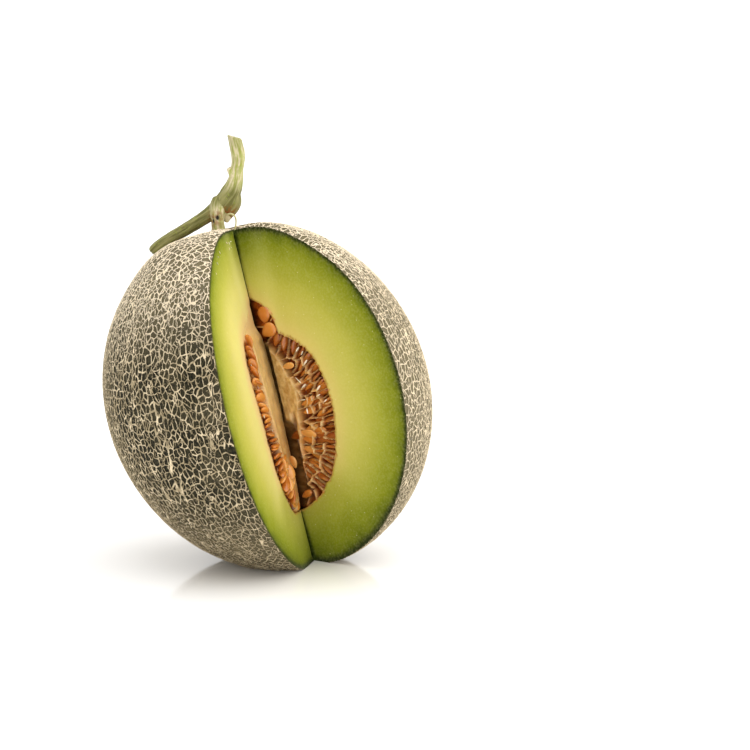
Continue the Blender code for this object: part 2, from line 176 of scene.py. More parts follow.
# Wet white flecks on the pulp, painted glints, as side, out and up, depth under the cut, turn and length
GLINT_FLECKS = (
    (1, 19.6, 23.4, 0.4, 40, 0.3), (1, 21.6, 21.4, 0.6, 50, 0.24), (1, 22.4, 17.0, 0.4, 40, 0.34),
    (1, 16.6, 9.6, -0.4, -50, 0.42), (1, 18.6, 6.6, 0.0, 30, 0.34), (1, 26.4, 4.6, 0.2, 40, 0.36),
    (1, 25.0, 1.2, 0.4, 20, 0.28), (1, 16.2, 0.4, -0.2, 0, 0.3), (1, 17.0, -5.0, 0.2, 90, 0.26),
    (1, 28.4, -1.6, 0.4, 30, 0.24), (-1, 27.0, 22.0, -1.4, 80, 0.2), (-1, 24.6, 12.0, -1.4, 60, 0.22),
    (-1, 26.0, -1.0, -1.2, 70, 0.26), (-1, 20.0, -9.0, -1.6, 60, 0.2), (-1, 14.0, -28.0, -2.8, 10, 0.24),
    (-1, 21.0, -31.0, -1.4, 70, 0.2), (-1, 14.5, 77.6, -0.1, 30, 0.2), (-1, 11.0, 77.0, -0.1, 60, 0.16),
    (-1, 8.0, 77.6, -0.1, 0, 0.2), (-1, 13.0, 74.6, -0.1, 80, 0.15), (-1, 9.0, 74.8, -0.1, 20, 0.14),
    (-1, 28.5, 74.6, -0.1, 60, 0.17), (-1, 32.0, 72.8, -0.1, 40, 0.16), (-1, 35.6, 70.4, -0.1, 50, 0.18),
    (-1, 41.0, 66.4, -0.1, 50, 0.14),
)
GLINT_FLECK_ROLL = 0.9
GLINT_FLECK_PLUMPNESS = 0.62
SEED_SEED = 11
# Seeds that lie apart, as side, out and up, depth under the cut, turn, roll, length, plumpness and tint
LONE_SEEDS = (
    (1, 5.8, 41.6, 0.2, 84, 4, 0.8, 1.8, 0.5), (1, 7.0, 34.4, -0.8, 24, 6, 0.86, 1.66, 0.66),
    (1, 8.4, 29.6, 2.4, 50, 40, 0.8, 1.1, 0.4), (1, 12.4, 27.0, 1.6, 66, 60, 0.72, 1.1, 0.2),
    (1, 17.0, 24.6, 2.2, 62, 66, 0.8, 1.0, 0.12), (1, 12.6, 16.8, 0.0, 4, 8, 0.68, 1.0, 0.95),
    (1, 11.4, 3.6, 1.0, 100, 24, 0.62, 1.0, 0.55), (1, 6.8, -15.6, 2.2, 10, 10, 0.84, 1.2, 0.1),
    (-1, 21.8, 32.6, -1.5, 78, 66, 0.72, 1.2, 0.6),
    (1, 4.6, -43.0, 1.0, 20, 10, 0.66, 1.1, 0.5), (-1, 12.5, -30.0, -3.0, -64, 58, 0.72, 1.3, 0.9),
    (-1, 5.0, -26.8, -3.2, 70, 62, 0.68, 1.3, 0.95), (-1, 16.6, -34.5, -2.4, -60, 66, 0.74, 1.15, 0.95),
    (-1, 18.6, -25.6, -2.4, 80, 60, 0.76, 1.2, 0.95), (-1, 10.6, -41.0, -1.2, -30, 20, 0.7, 1.0, 0.8),
    (-1, 12.0, -45.0, -1.0, 20, 10, 0.6, 1.1, 0.6), (-1, 7.0, -46.0, -1.0, -50, 20, 0.56, 1.1, 0.5),
)

# The stem: points and the radius at each, in millimetres from the stalk's foot, as in the solids
STALK_FOOT = Vector((-3.6, 4.2, 0)) * MM
STALK_SEAT_DEPTH = 0.8 * MM
STEM_YAW = math.radians(-20)
STALK_PATH = (
    (0.0, 0.0, -1.0, 3.9), (0.0, 0.0, 0.4, 3.5), (0.0, 0.0, 2.0, 3.0), (-0.3, 0.0, 5.0, 2.9),
    (-0.5, 0.8, 9.0, 3.2), (-0.4, 2.4, 12.4, 3.5), (0.3, 4.0, 15.5, 3.0),
)
VINE_PATH = (
    (-30.9, 4.4, -9.1, 1.2), (-29.6, 4.4, -8.0, 2.5), (-23.1, 4.2, -3.3, 2.7), (-15.1, 4.0, 1.5, 2.8),
    (-5.8, 3.8, 7.2, 3.1), (1.3, 3.8, 12.8, 4.3), (5.8, 3.8, 18.8, 4.3),
    (7.7, 3.8, 24.0, 3.4), (8.5, 3.4, 29.0, 2.8), (9.1, 3.0, 33.8, 3.0),
    (8.5, 2.8, 38.8, 3.2), (7.4, 2.8, 43.4, 3.4),
)
SCAR_PATH = (
    (7.0, 4.0, 19.0, 2.8), (6.3, 3.9, 14.0, 3.9), (5.0, 3.6, 10.0, 3.4), (3.9, 3.3, 7.2, 2.1),
    (3.3, 3.0, 4.6, 0.8),
)
NUB_PATH = ((7.0, 3.0, 25.4, 2.0), (4.6, 2.6, 29.6, 1.2))
TENDRIL_PATH = (
    (3.4, 0.6, 8.2, 0.3), (5.6, -0.6, 9.0, 0.42), (7.6, -0.4, 7.6, 0.42), (8.0, -0.2, 5.0, 0.36),
    (7.4, -0.4, 1.2, 0.4),
)
STEM_PITS = ((-2.9, -1.8, 5.6), (-0.2, -3.0, 7.4))
STEM_PIT_WIDTH = 1.5 * MM
STEM_PIT_DEPTH = 1.1 * MM
VINE_CUT_SLANT = -0.52
STEM_VOXEL = 0.26 * MM
STEM_RIBS = 5
STEM_RIB_RISE = 0.16 * MM

# The camera and the light
CAMERA_AZIMUTH = math.radians(-20.19)
CAMERA_ELEVATION = math.radians(9.0)
CAMERA_DISTANCE = 1.1
CAMERA_RIGHT = 48.6 * MM
CAMERA_UP = 9.6 * MM
CAMERA_LENS = 115.8
FLOOR_HALF = 80.0
SOFT_LIGHTS = (
    ("top", 2.1, 80, (0.28, -0.2, 0.95)),
    ("right", 0.7, 60, (0.86, -0.42, 0.3)),
)
ROOM_BAND = (0.16, 0.5)
ROOM_LIGHT = (1.2, 0.7)
TABLE_GLOW = 0.14
GLOW_CONTACT_SHADOW_REACH = (0.01, 0.075)
GLOSS_REACH = (0.025, 0.1)
WARM_SHADE_REACH = (0.04, 0.12)


# Small makers for meshes and node trees


def feed(tree, made, inputs):
    """Gives a node its inputs, by name or number: each is a socket to link or a value."""
    for key, value in inputs.items():
        if isinstance(value, bpy.types.NodeSocket):
            tree.links.new(value, made.inputs[key])
        else:
            made.inputs[key].default_value = value


def node(tree, kind, inputs=None, **settings):
    made = tree.nodes.new(kind)
    for key, value in settings.items():
        setattr(made, key, value)
    feed(tree, made, inputs or {})
    return made


def maths(tree, operation, first, second=0.0, clamp=False):
    made = node(tree, "ShaderNodeMath", {0: first, 1: second}, operation=operation, use_clamp=clamp)
    return made.outputs[0]


def times(tree, first, second):
    return maths(tree, "MULTIPLY", first, second)


def vectors(tree, operation, first, second=(0.0, 0.0, 0.0)):
    return node(tree, "ShaderNodeVectorMath", {0: first, 1: second}, operation=operation).outputs[0]


def scaled(tree, vector, factor):
    return node(tree, "ShaderNodeVectorMath", {0: vector, "Scale": factor}, operation="SCALE").outputs[0]


def part_of(tree, vector, axis):
    return node(tree, "ShaderNodeSeparateXYZ", {0: vector}).outputs[axis]


def spread(tree, value, low, high, to_low=0.0, to_high=1.0, smooth=True):
    """The value mapped from one span to another and held inside it."""
    inputs = {"Value": value, "From Min": low, "From Max": high, "To Min": to_low, "To Max": to_high}
    kind = "SMOOTHSTEP" if smooth else "LINEAR"
    return node(tree, "ShaderNodeMapRange", inputs, interpolation_type=kind).outputs[0]


def cloud(tree, place, size, detail=2.0, roughness=0.5, output=0):
    inputs = {"Vector": place, "Scale": 1 / size, "Detail": detail, "Roughness": roughness}
    return node(tree, "ShaderNodeTexNoise", inputs).outputs[output]


def shaken(tree, place, size, reach):
    """A place moved by up to about reach, in patches of the given size."""
    way = vectors(tree, "SUBTRACT", cloud(tree, place, size, output="Color"), (0.5, 0.5, 0.5))
    return vectors(tree, "ADD", place, scaled(tree, way, 2 * reach))


def edges(tree, place, size):
    """Distance to the nearest border between flat cells of the given size, in metres."""
    inputs = {"Vector": place, "Scale": 1 / size, "Randomness": NET_RANDOMNESS}
    made = node(tree, "ShaderNodeTexVoronoi", inputs, feature="DISTANCE_TO_EDGE", voronoi_dimensions="2D")
    return times(tree, made.outputs["Distance"], size)


def blend(tree, share, first, second):
    return node(tree, "ShaderNodeMix", {0: share, 6: first, 7: second}, data_type="RGBA").outputs[2]


def layered(tree, colour, layers):
    """A colour under layers: pairs of the share that a layer covers and its colour."""
    for share, upper in layers:
        colour = blend(tree, share, colour, upper)
    return colour


def shade(*levels):
    """A colour given as it looks on a screen, each level from 0 to 255, as the shader wants it."""
    linear = [((level / 255 + 0.055) / 1.055) ** 2.4 if level > 10 else level / 3295 for level in levels]
    return (*linear, 1.0)


def stops(tree, value, colours):
    """A colour ramp: pairs of a place from 0 to 1 and a colour."""
    made = node(tree, "ShaderNodeValToRGB", {0: value})
    ramp = made.color_ramp
    ramp.elements[0].position, ramp.elements[0].color = colours[0]
    ramp.elements[1].position, ramp.elements[1].color = colours[-1]
    for place, colour in colours[1:-1]:
        ramp.elements.new(place).color = colour
    return made.outputs["Color"]


def attribute(tree, name, output="Fac"):
    return node(tree, "ShaderNodeAttribute", attribute_name=name).outputs[output]


def own_place(tree):
    return node(tree, "ShaderNodeTexCoord").outputs["Object"]


def new_material(name):
    material = bpy.data.materials.new(name)
    material.use_nodes = True
    return material, material.node_tree, material.node_tree.nodes["Principled BSDF"]


def add_bump(tree, shader, height, distance, strength=1.0):
    made = node(tree, "ShaderNodeBump", {"Height": height, "Distance": distance, "Strength": strength})
    tree.links.new(made.outputs["Normal"], shader.inputs["Normal"])


def new_group(name, inputs):
    """A geometry tree and its inputs, which are given as a name, a kind of number and a value each."""
    tree = bpy.data.node_groups.new(name, "GeometryNodeTree")
    tree.interface.new_socket("Geometry", in_out="INPUT", socket_type="NodeSocketGeometry")
    for title, kind, value in inputs:
        socket = tree.interface.new_socket(title, in_out="INPUT", socket_type=f"NodeSocket{kind}")
        socket.default_value = value
    tree.interface.new_socket("Geometry", in_out="OUTPUT", socket_type="NodeSocketGeometry")
    return tree, node(tree, "NodeGroupInput").outputs


def end_group(tree, geometry, material):
    real = node(tree, "GeometryNodeRealizeInstances", {0: geometry})
    painted = node(tree, "GeometryNodeSetMaterial", {"Geometry": real.outputs[0], "Material": material})
    node(tree, "NodeGroupOutput", {0: painted.outputs[0]})


def point_value(tree, name, kind="FLOAT_VECTOR"):
    return node(tree, "GeometryNodeInputNamedAttribute", {"Name": name}, data_type=kind).outputs[0]


def add_object(name, data, material=None):
    thing = bpy.data.objects.new(name, data)
    bpy.context.scene.collection.objects.link(thing)
    if material:
        data.materials.append(material)
    return thing


def grid_faces(rows, columns, flip=False):
    """Four-sided faces over a grid of points that is stored row by row."""
    return quads(np.arange(rows * columns).reshape(rows, columns), flip)


def quads(number, flip=False):
    corners = [number[:-1, :-1], number[:-1, 1:], number[1:, 1:], number[1:, :-1]]
    if flip:
        corners.reverse()
    return np.stack([corner.ravel() for corner in corners], axis=1)


def closed_grid(grid):
    """A grid's points or values as a list, where each end row, whose places are one, is given once."""
    middle = grid[1:-1].reshape(-1, *grid.shape[2:])
    return np.concatenate([grid[0, :1], middle, grid[-1, :1]])


def closed_faces(rows, columns, ring=False):
    """Faces over a closed grid: a fan of triangles at each end, and four-sided faces between."""
    number = np.arange((rows - 2) * columns).reshape(rows - 2, columns) + 1
    if ring:
        number = np.concatenate([number, number[:, :1]], axis=1)
    first = np.zeros(number.shape[1] - 1, int)
    last = first + (rows - 2) * columns + 1
    start = np.stack([first, number[0, 1:], number[0, :-1]], axis=1)
    end = np.stack([number[-1, :-1], number[-1, 1:], last], axis=1)
    return [start, quads(number), end]


def give_values(mesh, fields):
    """Values at a mesh's points, each a number or a place."""
    for name, values in fields.items():
        values = np.asarray(values, np.float32).ravel()
        if len(values) == len(mesh.vertices):
            mesh.attributes.new(name, "FLOAT", "POINT").data.foreach_set("value", values)
        else:
            mesh.attributes.new(name, "FLOAT_VECTOR", "POINT").data.foreach_set("vector", values)


def mesh_of(name, points, faces, fields=None):
    """A smooth mesh from an array of points and a list of arrays of faces, with values at its points."""
    mesh = bpy.data.meshes.new(name)
    mesh.vertices.add(len(points))
    mesh.vertices.foreach_set("co", np.asarray(points, np.float32).ravel())
    corners = np.concatenate([block.ravel() for block in faces])
    sides = np.concatenate([np.full(len(block), block.shape[1]) for block in faces])
    mesh.loops.add(len(corners))
    mesh.loops.foreach_set("vertex_index", corners.astype(np.int32))
    mesh.polygons.add(len(sides))
    mesh.polygons.foreach_set("loop_start", (np.cumsum(sides) - sides).astype(np.int32))
    mesh.update(calc_edges=True)
    mesh.polygons.foreach_set("use_smooth", np.ones(len(sides), bool))
    give_values(mesh, fields or {})
    mesh.validate()
    return mesh


def set_points(mesh, points):
    mesh.vertices.foreach_set("co", points.astype(np.float32).ravel())
    mesh.update()


def points_of(mesh):
    points = np.empty(len(mesh.vertices) * 3, np.float32)
    mesh.vertices.foreach_get("co", points)
    return points.reshape(-1, 3).astype(float)


def normals_of(mesh):
    normals = np.empty(len(mesh.vertices) * 3, np.float32)
    mesh.vertex_normals.foreach_get("vector", normals)
    return normals.reshape(-1, 3).astype(float)


def evaluated_mesh(thing):
    """The mesh that an object's modifiers make, as a plain mesh of its own; the object is removed."""
    bpy.context.view_layer.update()
    made = thing.evaluated_get(bpy.context.evaluated_depsgraph_get())
    mesh = bpy.data.meshes.new_from_object(made)
    bpy.data.objects.remove(thing)
    return mesh


def hand_in(piece, slot, *nodes):
    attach(piece, "root")
    if nodes:
        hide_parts(*nodes)


def smoothstep(value, low, high):
    share = np.clip((value - low) / (high - low), 0, 1)
    return share * share * (3 - 2 * share)


def waves(points, size, seed=0.0):
    """Smooth noise from -1 to 1 at each point, in patches of the given size."""
    shift = Vector((seed, -seed, 2 * seed))
    return np.array([noise.noise(Vector(point) / size + shift) for point in points])


# The fruit's form, in its own frame: Z from the blossom end to the stalk, -Y to the missing wedge


def unit(vectors_in):
    return vectors_in / np.linalg.norm(vectors_in, axis=-1, keepdims=True)


def swell_axis():
    flat = Vector((math.cos(SWELL_AZIMUTH), math.sin(SWELL_AZIMUTH), 0))
    return flat * math.sin(SWELL_TILT) + Vector((0, 0, math.cos(SWELL_TILT)))


def angle_from(ways, way):
    return np.arccos(np.clip(ways @ np.array(Vector(way).normalized()), -1, 1))


def skin_radius(ways):
    """Distance from the fruit's centre to its skin, along unit directions."""
    along = ways @ np.array(swell_axis())
    half_length, half_width = FRUIT_LENGTH / 2, FRUIT_WIDTH / 2
    radius = 1 / np.sqrt((along / half_length) ** 2 + (1 - along**2) / half_width**2)
    stalk = STALK_FOOT + Vector((0, 0, half_length))
    radius -= STALK_DIMPLE_DEPTH * np.exp(-((angle_from(ways, stalk) / STALK_DIMPLE_SPREAD) ** 2))
    radius += SHOULDER_SWELL * np.exp(-((angle_from(ways, SHOULDER_WAY) / SHOULDER_SPREAD) ** 2))
    radius -= BLOSSOM_DIMPLE_DEPTH * np.exp(-((angle_from(ways, (0, 0, -1)) / BLOSSOM_DIMPLE_SPREAD) ** 2))
    turn = np.arctan2(ways[..., 1], ways[..., 0])
    return radius + SHOULDER_WAVE * np.sin(3 * turn + 0.6) * (1 - ways[..., 2] ** 2)


HEART = np.array(WEDGE_EDGE)


def reach_from_heart(ways):
    """Distance from the wedge's edge, at the fruit's middle, to the skin along unit directions."""
    reach = np.full(ways.shape[:-1], FRUIT_WIDTH / 2)
    for _ in range(8):
        place = HEART + ways * reach[..., None]
        out = np.linalg.norm(place, axis=-1)
        reach += skin_radius(place / out[..., None]) + SKIN_LIFT - out
    return reach


def fruit_matrix():
    lean = Quaternion((1, 0, 0), -LEAN_BACK) @ Quaternion((0, 1, 0), -LEAN_LEFT)
    axis = lean @ swell_axis()
    half_length, half_width = FRUIT_LENGTH / 2, FRUIT_WIDTH / 2
    half_height = math.sqrt((axis.z * half_length) ** 2 + (1 - axis.z**2) * half_width**2)
    middle = Vector((0, 0, half_height - FLAT_DEPTH)) - FLAT_CENTRE
    return Matrix.Translation(middle) @ lean.to_matrix().to_4x4()


FRUIT = fruit_matrix()


def placed(points, matrix=FRUIT):
    """Points of a frame, as an array, moved into the row's frame."""
    turn = np.array(matrix.to_3x3())
    return points @ turn.T + np.array(matrix.translation)


def cut_face(side):
    """The missing wedge's cut on one side: the way out along it, and the way it faces."""
    half = WEDGE_ANGLE / 2
    outwards = np.array((side * math.sin(half), -math.cos(half), 0))
    facing = np.array((-side * math.cos(half), -math.sin(half), 0))
    return outwards, facing


def hollow_reach(side, heights):
    """How far out along a cut the hollow's wall lies, at heights along the fruit."""
    up, out = zip(*HOLLOW_EDGE[side])
    return np.interp((heights - HOLLOW_CENTRE.z) / MM, up, out) * MM


# The rind


def net_height(tree, girth_place, cap_place, latitude):
    """The net's height: 0 on the bare skin, 1 on the highest crest; and the flat place it is read at."""
    ragged = cloud(tree, girth_place, 11 * MM, 1.0)
    up = maths(tree, "ADD", latitude, spread(tree, ragged, 0.2, 0.8, -CAP_RAGGED, CAP_RAGGED))
    on_cap = maths(tree, "GREATER_THAN", up, CAP_FROM)
    border = times(tree, maths(tree, "ABSOLUTE", maths(tree, "SUBTRACT", up, CAP_FROM)), FRUIT_WIDTH / 2)
    to_cap = vectors(tree, "SUBTRACT", cap_place, girth_place)
    place = vectors(tree, "ADD", girth_place, scaled(tree, to_cap, on_cap))
    moved = shaken(tree, shaken(tree, place, *NET_SWAY), *NET_WOBBLE)
    long = vectors(tree, "MULTIPLY", moved, (1, 0.4, 1))
    thick = spread(tree, cloud(tree, place, 6 * MM), 0.35, 0.65, 0.8, 1.25)

    cells = maths(tree, "DIVIDE", edges(tree, moved, NET_CELL), thick)
    fine = spread(tree, cells, 0.2 * NET_LINE, NET_LINE, 0.85, 0.0)
    faded = spread(tree, cloud(tree, place, 3.4 * MM, 1.0), 0.3, 0.4, 0.5, 1.0)

    swing = times(tree, cloud(tree, long, 7 * MM), CRACK_SWING)
    round_way = maths(tree, "ADD", part_of(tree, moved, "X"), swing)
    to_crack = maths(tree, "PINGPONG", round_way, CRACK_GAP / 2)
    broken = spread(tree, cloud(tree, long, 8 * MM, 1.0), 0.5, 0.42, 0.0, CRACK_LINE)
    cracks = maths(tree, "MINIMUM", maths(tree, "ADD", to_crack, broken), border)
    coarse = spread(tree, maths(tree, "DIVIDE", cracks, thick), 0.2 * CRACK_LINE, CRACK_LINE, 1.0, 0.0)

    twigs = spread(tree, edges(tree, moved, TWIG_CELL), 0.2 * TWIG_LINE, TWIG_LINE, 0.6, 0.0)
    grown = spread(tree, cloud(tree, place, 2.6 * MM, 1.0), 0.5, 0.57)

    inputs = {"Vector": long, "Scale": 1 / SCAR_CELL}
    spots = node(tree, "ShaderNodeTexVoronoi", inputs, feature="F1", voronoi_dimensions="2D").outputs
    scarred = maths(tree, "GREATER_THAN", part_of(tree, spots["Color"], "X"), 1 - SCAR_SHARE)
    size = SCAR_SIZE / SCAR_CELL
    scar = spread(tree, spots["Distance"], 0.7 * size, size, 0.95, 0.0)

    net = maths(tree, "MAXIMUM", times(tree, fine, faded), coarse)
    net = maths(tree, "MAXIMUM", net, times(tree, scar, scarred))
    return maths(tree, "MAXIMUM", net, times(tree, twigs, grown)), place


def net_tree(material):
    """Geometry Nodes: lifts a skin along the ways out from a heart, by the height of the net."""
    tree, given = new_group("raised_net", (
        ("Net rise", "Float", NET_RISE), ("Heart", "Vector", tuple(FRUIT @ WEDGE_EDGE)),
    ))
    girth, cap = point_value(tree, "girth_place"), point_value(tree, "cap_place")
    height = net_height(tree, girth, cap, point_value(tree, "latitude", "FLOAT"))[0]
    here = node(tree, "GeometryNodeInputPosition").outputs[0]
    way = vectors(tree, "NORMALIZE", vectors(tree, "SUBTRACT", here, given["Heart"]))
    step = scaled(tree, way, times(tree, height, given["Net rise"]))
    lifted = node(tree, "GeometryNodeSetPosition", {"Geometry": given["Geometry"], "Offset": step})
    end_group(tree, lifted.outputs[0], material)
    return tree


def rind_grid():
    """Unit directions from the heart to the rind: one row of them for each step up from the blossom end."""
    columns = RIND_SECTORS * SECTOR_COLUMNS + 1
    turns = np.linspace(WEDGE_ANGLE / 2, 2 * math.pi - WEDGE_ANGLE / 2, columns)
    rises = np.linspace(-math.pi / 2, math.pi / 2, RIND_ROWS + 1)
    turn, rise = np.meshgrid(turns, rises)
    ways = np.stack([np.sin(turn) * np.cos(rise), -np.cos(turn) * np.cos(rise), np.sin(rise)], axis=-1)
    ways[0] = (0, 0, -1)
    ways[-1] = (0, 0, 1)
    return ways


def flat_places(bare):
    """Flat places to lay the net on: rolled round the fruit's girth, and spread over its two ends."""
    out = np.linalg.norm(bare, axis=-1)
    latitude = np.arcsin(bare[..., 2] / out)
    turn = np.arctan2(bare[..., 0], -bare[..., 1]) % (2 * math.pi)
    steps = np.linspace(0, math.pi / 2, 200)
    climb = np.cumsum(np.cos(np.minimum(steps, 1.2)) ** -0.5) * (steps[1] - steps[0])
    radius = FRUIT_WIDTH / 2
    up = np.sign(latitude) * np.interp(np.abs(latitude), steps, climb) * radius * NET_DRAW_OUT
    level = np.zeros(up.shape)
    from_end = (math.pi / 2 - np.abs(latitude)) * radius
    ring = np.minimum(from_end, RING_REACH)
    from_end = from_end * np.where(latitude > 0, (ring / RING_REACH) ** (RING_POWER - 1), 1)
    shift = np.where(latitude > 0, CAP_SHIFT, -CAP_SHIFT)
    return {
        "girth_place": np.stack([turn * radius, up, level], axis=-1),
        "cap_place": np.stack([from_end * np.cos(turn) + shift, from_end * np.sin(turn), level], axis=-1),
        "latitude": np.abs(latitude), "rise": latitude,
    }


def edge_roll(bare):
    """How far the rind rolls in beside the cuts, near the top of the fruit."""
    from_heart = bare - HEART
    nearest = np.full(bare.shape[:-1], 1.0)
    for side in (-1, 1):
        outwards, facing = cut_face(side)
        nearest = np.minimum(nearest, np.hypot(from_heart @ facing, np.minimum(from_heart @ outwards, 0)))
    rise = np.arcsin(from_heart[..., 2] / np.linalg.norm(from_heart, axis=-1))
    return EDGE_ROLL * np.exp(-((nearest / EDGE_ROLL_WIDTH) ** 2)) * smoothstep(rise, 0.6, 1.1)


def rind_skin(material):
    """The rind's points in the row's frame after the net is raised, and the values that place the net."""
    ways = rind_grid()
    bare = HEART + ways * reach_from_heart(ways)[..., None]
    bare -= ways * edge_roll(bare)[..., None]
    fields = flat_places(bare)
    rows, columns = ways.shape[:2]
    mesh = mesh_of("skin", placed(bare.reshape(-1, 3)), [grid_faces(rows, columns)], fields)
    skin = add_object("skin", mesh)
    skin.modifiers.new("raised_net", "NODES").node_group = net_tree(material)
    lifted = points_of(evaluated_mesh(skin)).reshape(rows, columns, 3)
    lifted[..., 2] = np.maximum(lifted[..., 2], 0)
    lifted[0] = lifted[0, 0]
    lifted[-1] = lifted[-1, 0]
    return lifted, fields


def make_rind(lifted, fields, material):
    """The rind in sectors, whose shared borders have the same points and the same normals."""
    rows, columns = lifted.shape[:2]
    whole = mesh_of("whole_rind", lifted.reshape(-1, 3), [grid_faces(rows, columns)])
    normals = normals_of(whole).reshape(rows, columns, 3)
    for pole, sign in ((0, -1), (-1, 1)):
        normals[pole] = sign * np.array(FRUIT.to_3x3() @ Vector((0, 0, 1)))
    for sector in range(RIND_SECTORS):
        chosen = slice(sector * SECTOR_COLUMNS, (sector + 1) * SECTOR_COLUMNS + 1)
        faces = closed_faces(rows, SECTOR_COLUMNS + 1)
        values = {name: closed_grid(value[:, chosen]) for name, value in fields.items()}
        mesh = mesh_of(f"rind_{sector}", closed_grid(lifted[:, chosen]), faces, values)
        mesh.normals_split_custom_set_from_vertices(closed_grid(normals[:, chosen]))
        piece = add_object(f"rind_{sector}", mesh, material)
        hand_in(piece, "rind", *(["melon"] if sector == 0 else []))


def rind_material():
    material, tree, shader = new_material("netted_rind")
    girth, cap = attribute(tree, "girth_place", "Vector"), attribute(tree, "cap_place", "Vector")
    height, place = net_height(tree, girth, cap, attribute(tree, "latitude"))
    grain = cloud(tree, place, 0.8 * MM, 3.0, 0.7)
    up, round_way = attribute(tree, "rise"), part_of(tree, girth, "X")
    high, low = spread(tree, up, 0.3, 0.95), spread(tree, up, -0.35, -0.95)
    # Painted light: skin and crests paler towards the right, as light from the right, and towards the left
    # edge, as a sheen
    painted_right_light = spread(tree, round_way, *PAINTED_RIGHT_LIGHT_SPAN, 0.6, 0.0)
    left_side = spread(tree, round_way, *PAINTED_LEFT_SHEEN_SPAN, 0.0, 0.8)

    patches = spread(tree, cloud(tree, place, 22 * MM), 0.45, 0.75, 0.0, 0.25)
    pale = maths(tree, "ADD", patches, times(tree, low, 0.45))
    # Skin and crests paler towards the top: partly the net's own paler top, partly painted top light
    pale = maths(tree, "ADD", pale, times(tree, high, 0.75), clamp=True)
    pale = maths(tree, "MAXIMUM", pale, maths(tree, "MAXIMUM", painted_right_light, left_side))
    skin = blend(tree, spread(tree, grain, 0.4, 0.62), shade(12, 11, 6), shade(60, 56, 36))
    skin = layered(tree, skin, (
        (pale, shade(128, 117, 88)),
        # painted shade at the foot of each crest
        (spread(tree, height, 0.0, 0.2, 0.0, 0.5), shade(26, 24, 16)),
    ))
    # Painted highlight: crest tops painted brighter, in patches
    painted_highlight_patches = spread(tree, cloud(tree, place, 4.5 * MM, 1.0), 0.38, 0.66, 0.15, 1.0)
    crest = blend(tree, spread(tree, grain, 0.3, 0.75), shade(134, 118, 86), shade(180, 161, 124))
    crest = layered(tree, crest, (
        (times(tree, high, 0.95), shade(252, 234, 204)),
        (times(tree, painted_right_light, 0.8), shade(236, 218, 188)),
        (times(tree, spread(tree, height, 0.6, 0.95), painted_highlight_patches), shade(243, 223, 186)),
        (times(tree, low, 0.3), shade(146, 134, 108)),
    ))
    feed(tree, shader, {
        "Base Color": blend(tree, spread(tree, height, 0.34, 0.68), skin, crest),
        "Roughness": spread(tree, height, 0.1, 0.6, 0.62, 0.8),
        "Specular IOR Level": spread(tree, height, 0.1, 0.6, 0.12, 0.28),
        "Sheen Weight": spread(tree, height, 0.1, 0.6, 0.04, 0.28),
        "Sheen Roughness": 0.5, "Sheen Tint": shade(220, 208, 184),
    })
    relief = maths(tree, "ADD", times(tree, height, 0.6), times(tree, grain, 0.25))
    add_bump(tree, shader, relief, 0.35 * MM, 0.7)
    return material


# The cut faces of the flesh


def inner_edge(side, rises):
    """How far from the heart the flesh ends, along rays in a cut that rise at the given angles."""
    steps = np.linspace(0, 1, 400)[:, None] * 60 * MM
    out, high = steps * np.cos(rises), steps * np.sin(rises)
    filled = (out <= hollow_reach(side, high)) & (np.abs(high - HOLLOW_CENTRE.z) < HOLLOW_LENGTH / 2)
    return np.where(filled, steps, 0).max(axis=0)


def scallops(side, rises):
    """The uneven edge that the seeds leave in the flesh, from about -1 to 1."""
    uneven = np.array([noise.noise(Vector((rise * 26, side * 3.1, 0.5))) for rise in rises])
    return uneven + 0.5 * np.array([noise.noise(Vector((rise * 60, side * 3.1, 7.5))) for rise in rises])


def flesh_values(side, rises, reach, far, near):
    """What colours a cut face: millimetres from the rind, the seeds and the crease, and two shares, whose
    side differences paint the left face lighter.
    """
    # Painted light from the right: the left face, which faces it, gets more cream near the seeds, a quicker
    # ramp from the rind and a stronger pale core than the right face
    cream_share_and_side_light = np.full(reach.shape, 1.0 if side < 0 else 0.3)
    cream_share_and_side_light *= (1 - 0.9 * smoothstep(-rises, 0.85, 1.15))[:, None]
    beside = reach * np.cos(rises)[:, None]
    high_up = smoothstep(rises, 0.3, 0.7) * (1 - smoothstep(rises, 1.25, 1.5)) * (0.45 if side > 0 else 1)
    green_ends = 0.16 * smoothstep(rises, 0.9, 1.4) * (side > 0) + 0.42 * smoothstep(-rises, 0.45, 1.2)
    wide = 0.93 if side > 0 else 1.2 + 0.35 * smoothstep(rises, 0.2, 0.7)
    return {
        "from_rind": (far[:, None] - reach) * ((1 - green_ends) * wide)[:, None] / MM,
        "to_seeds": (reach - near[:, None]) / MM,
        "from_crease": beside * (1 if side > 0 else 2.5) / MM,
        "core": (1 - smoothstep(beside, 3 * MM, 20 * MM)) * high_up[:, None],
        "cream_share_and_side_light": cream_share_and_side_light,
    }


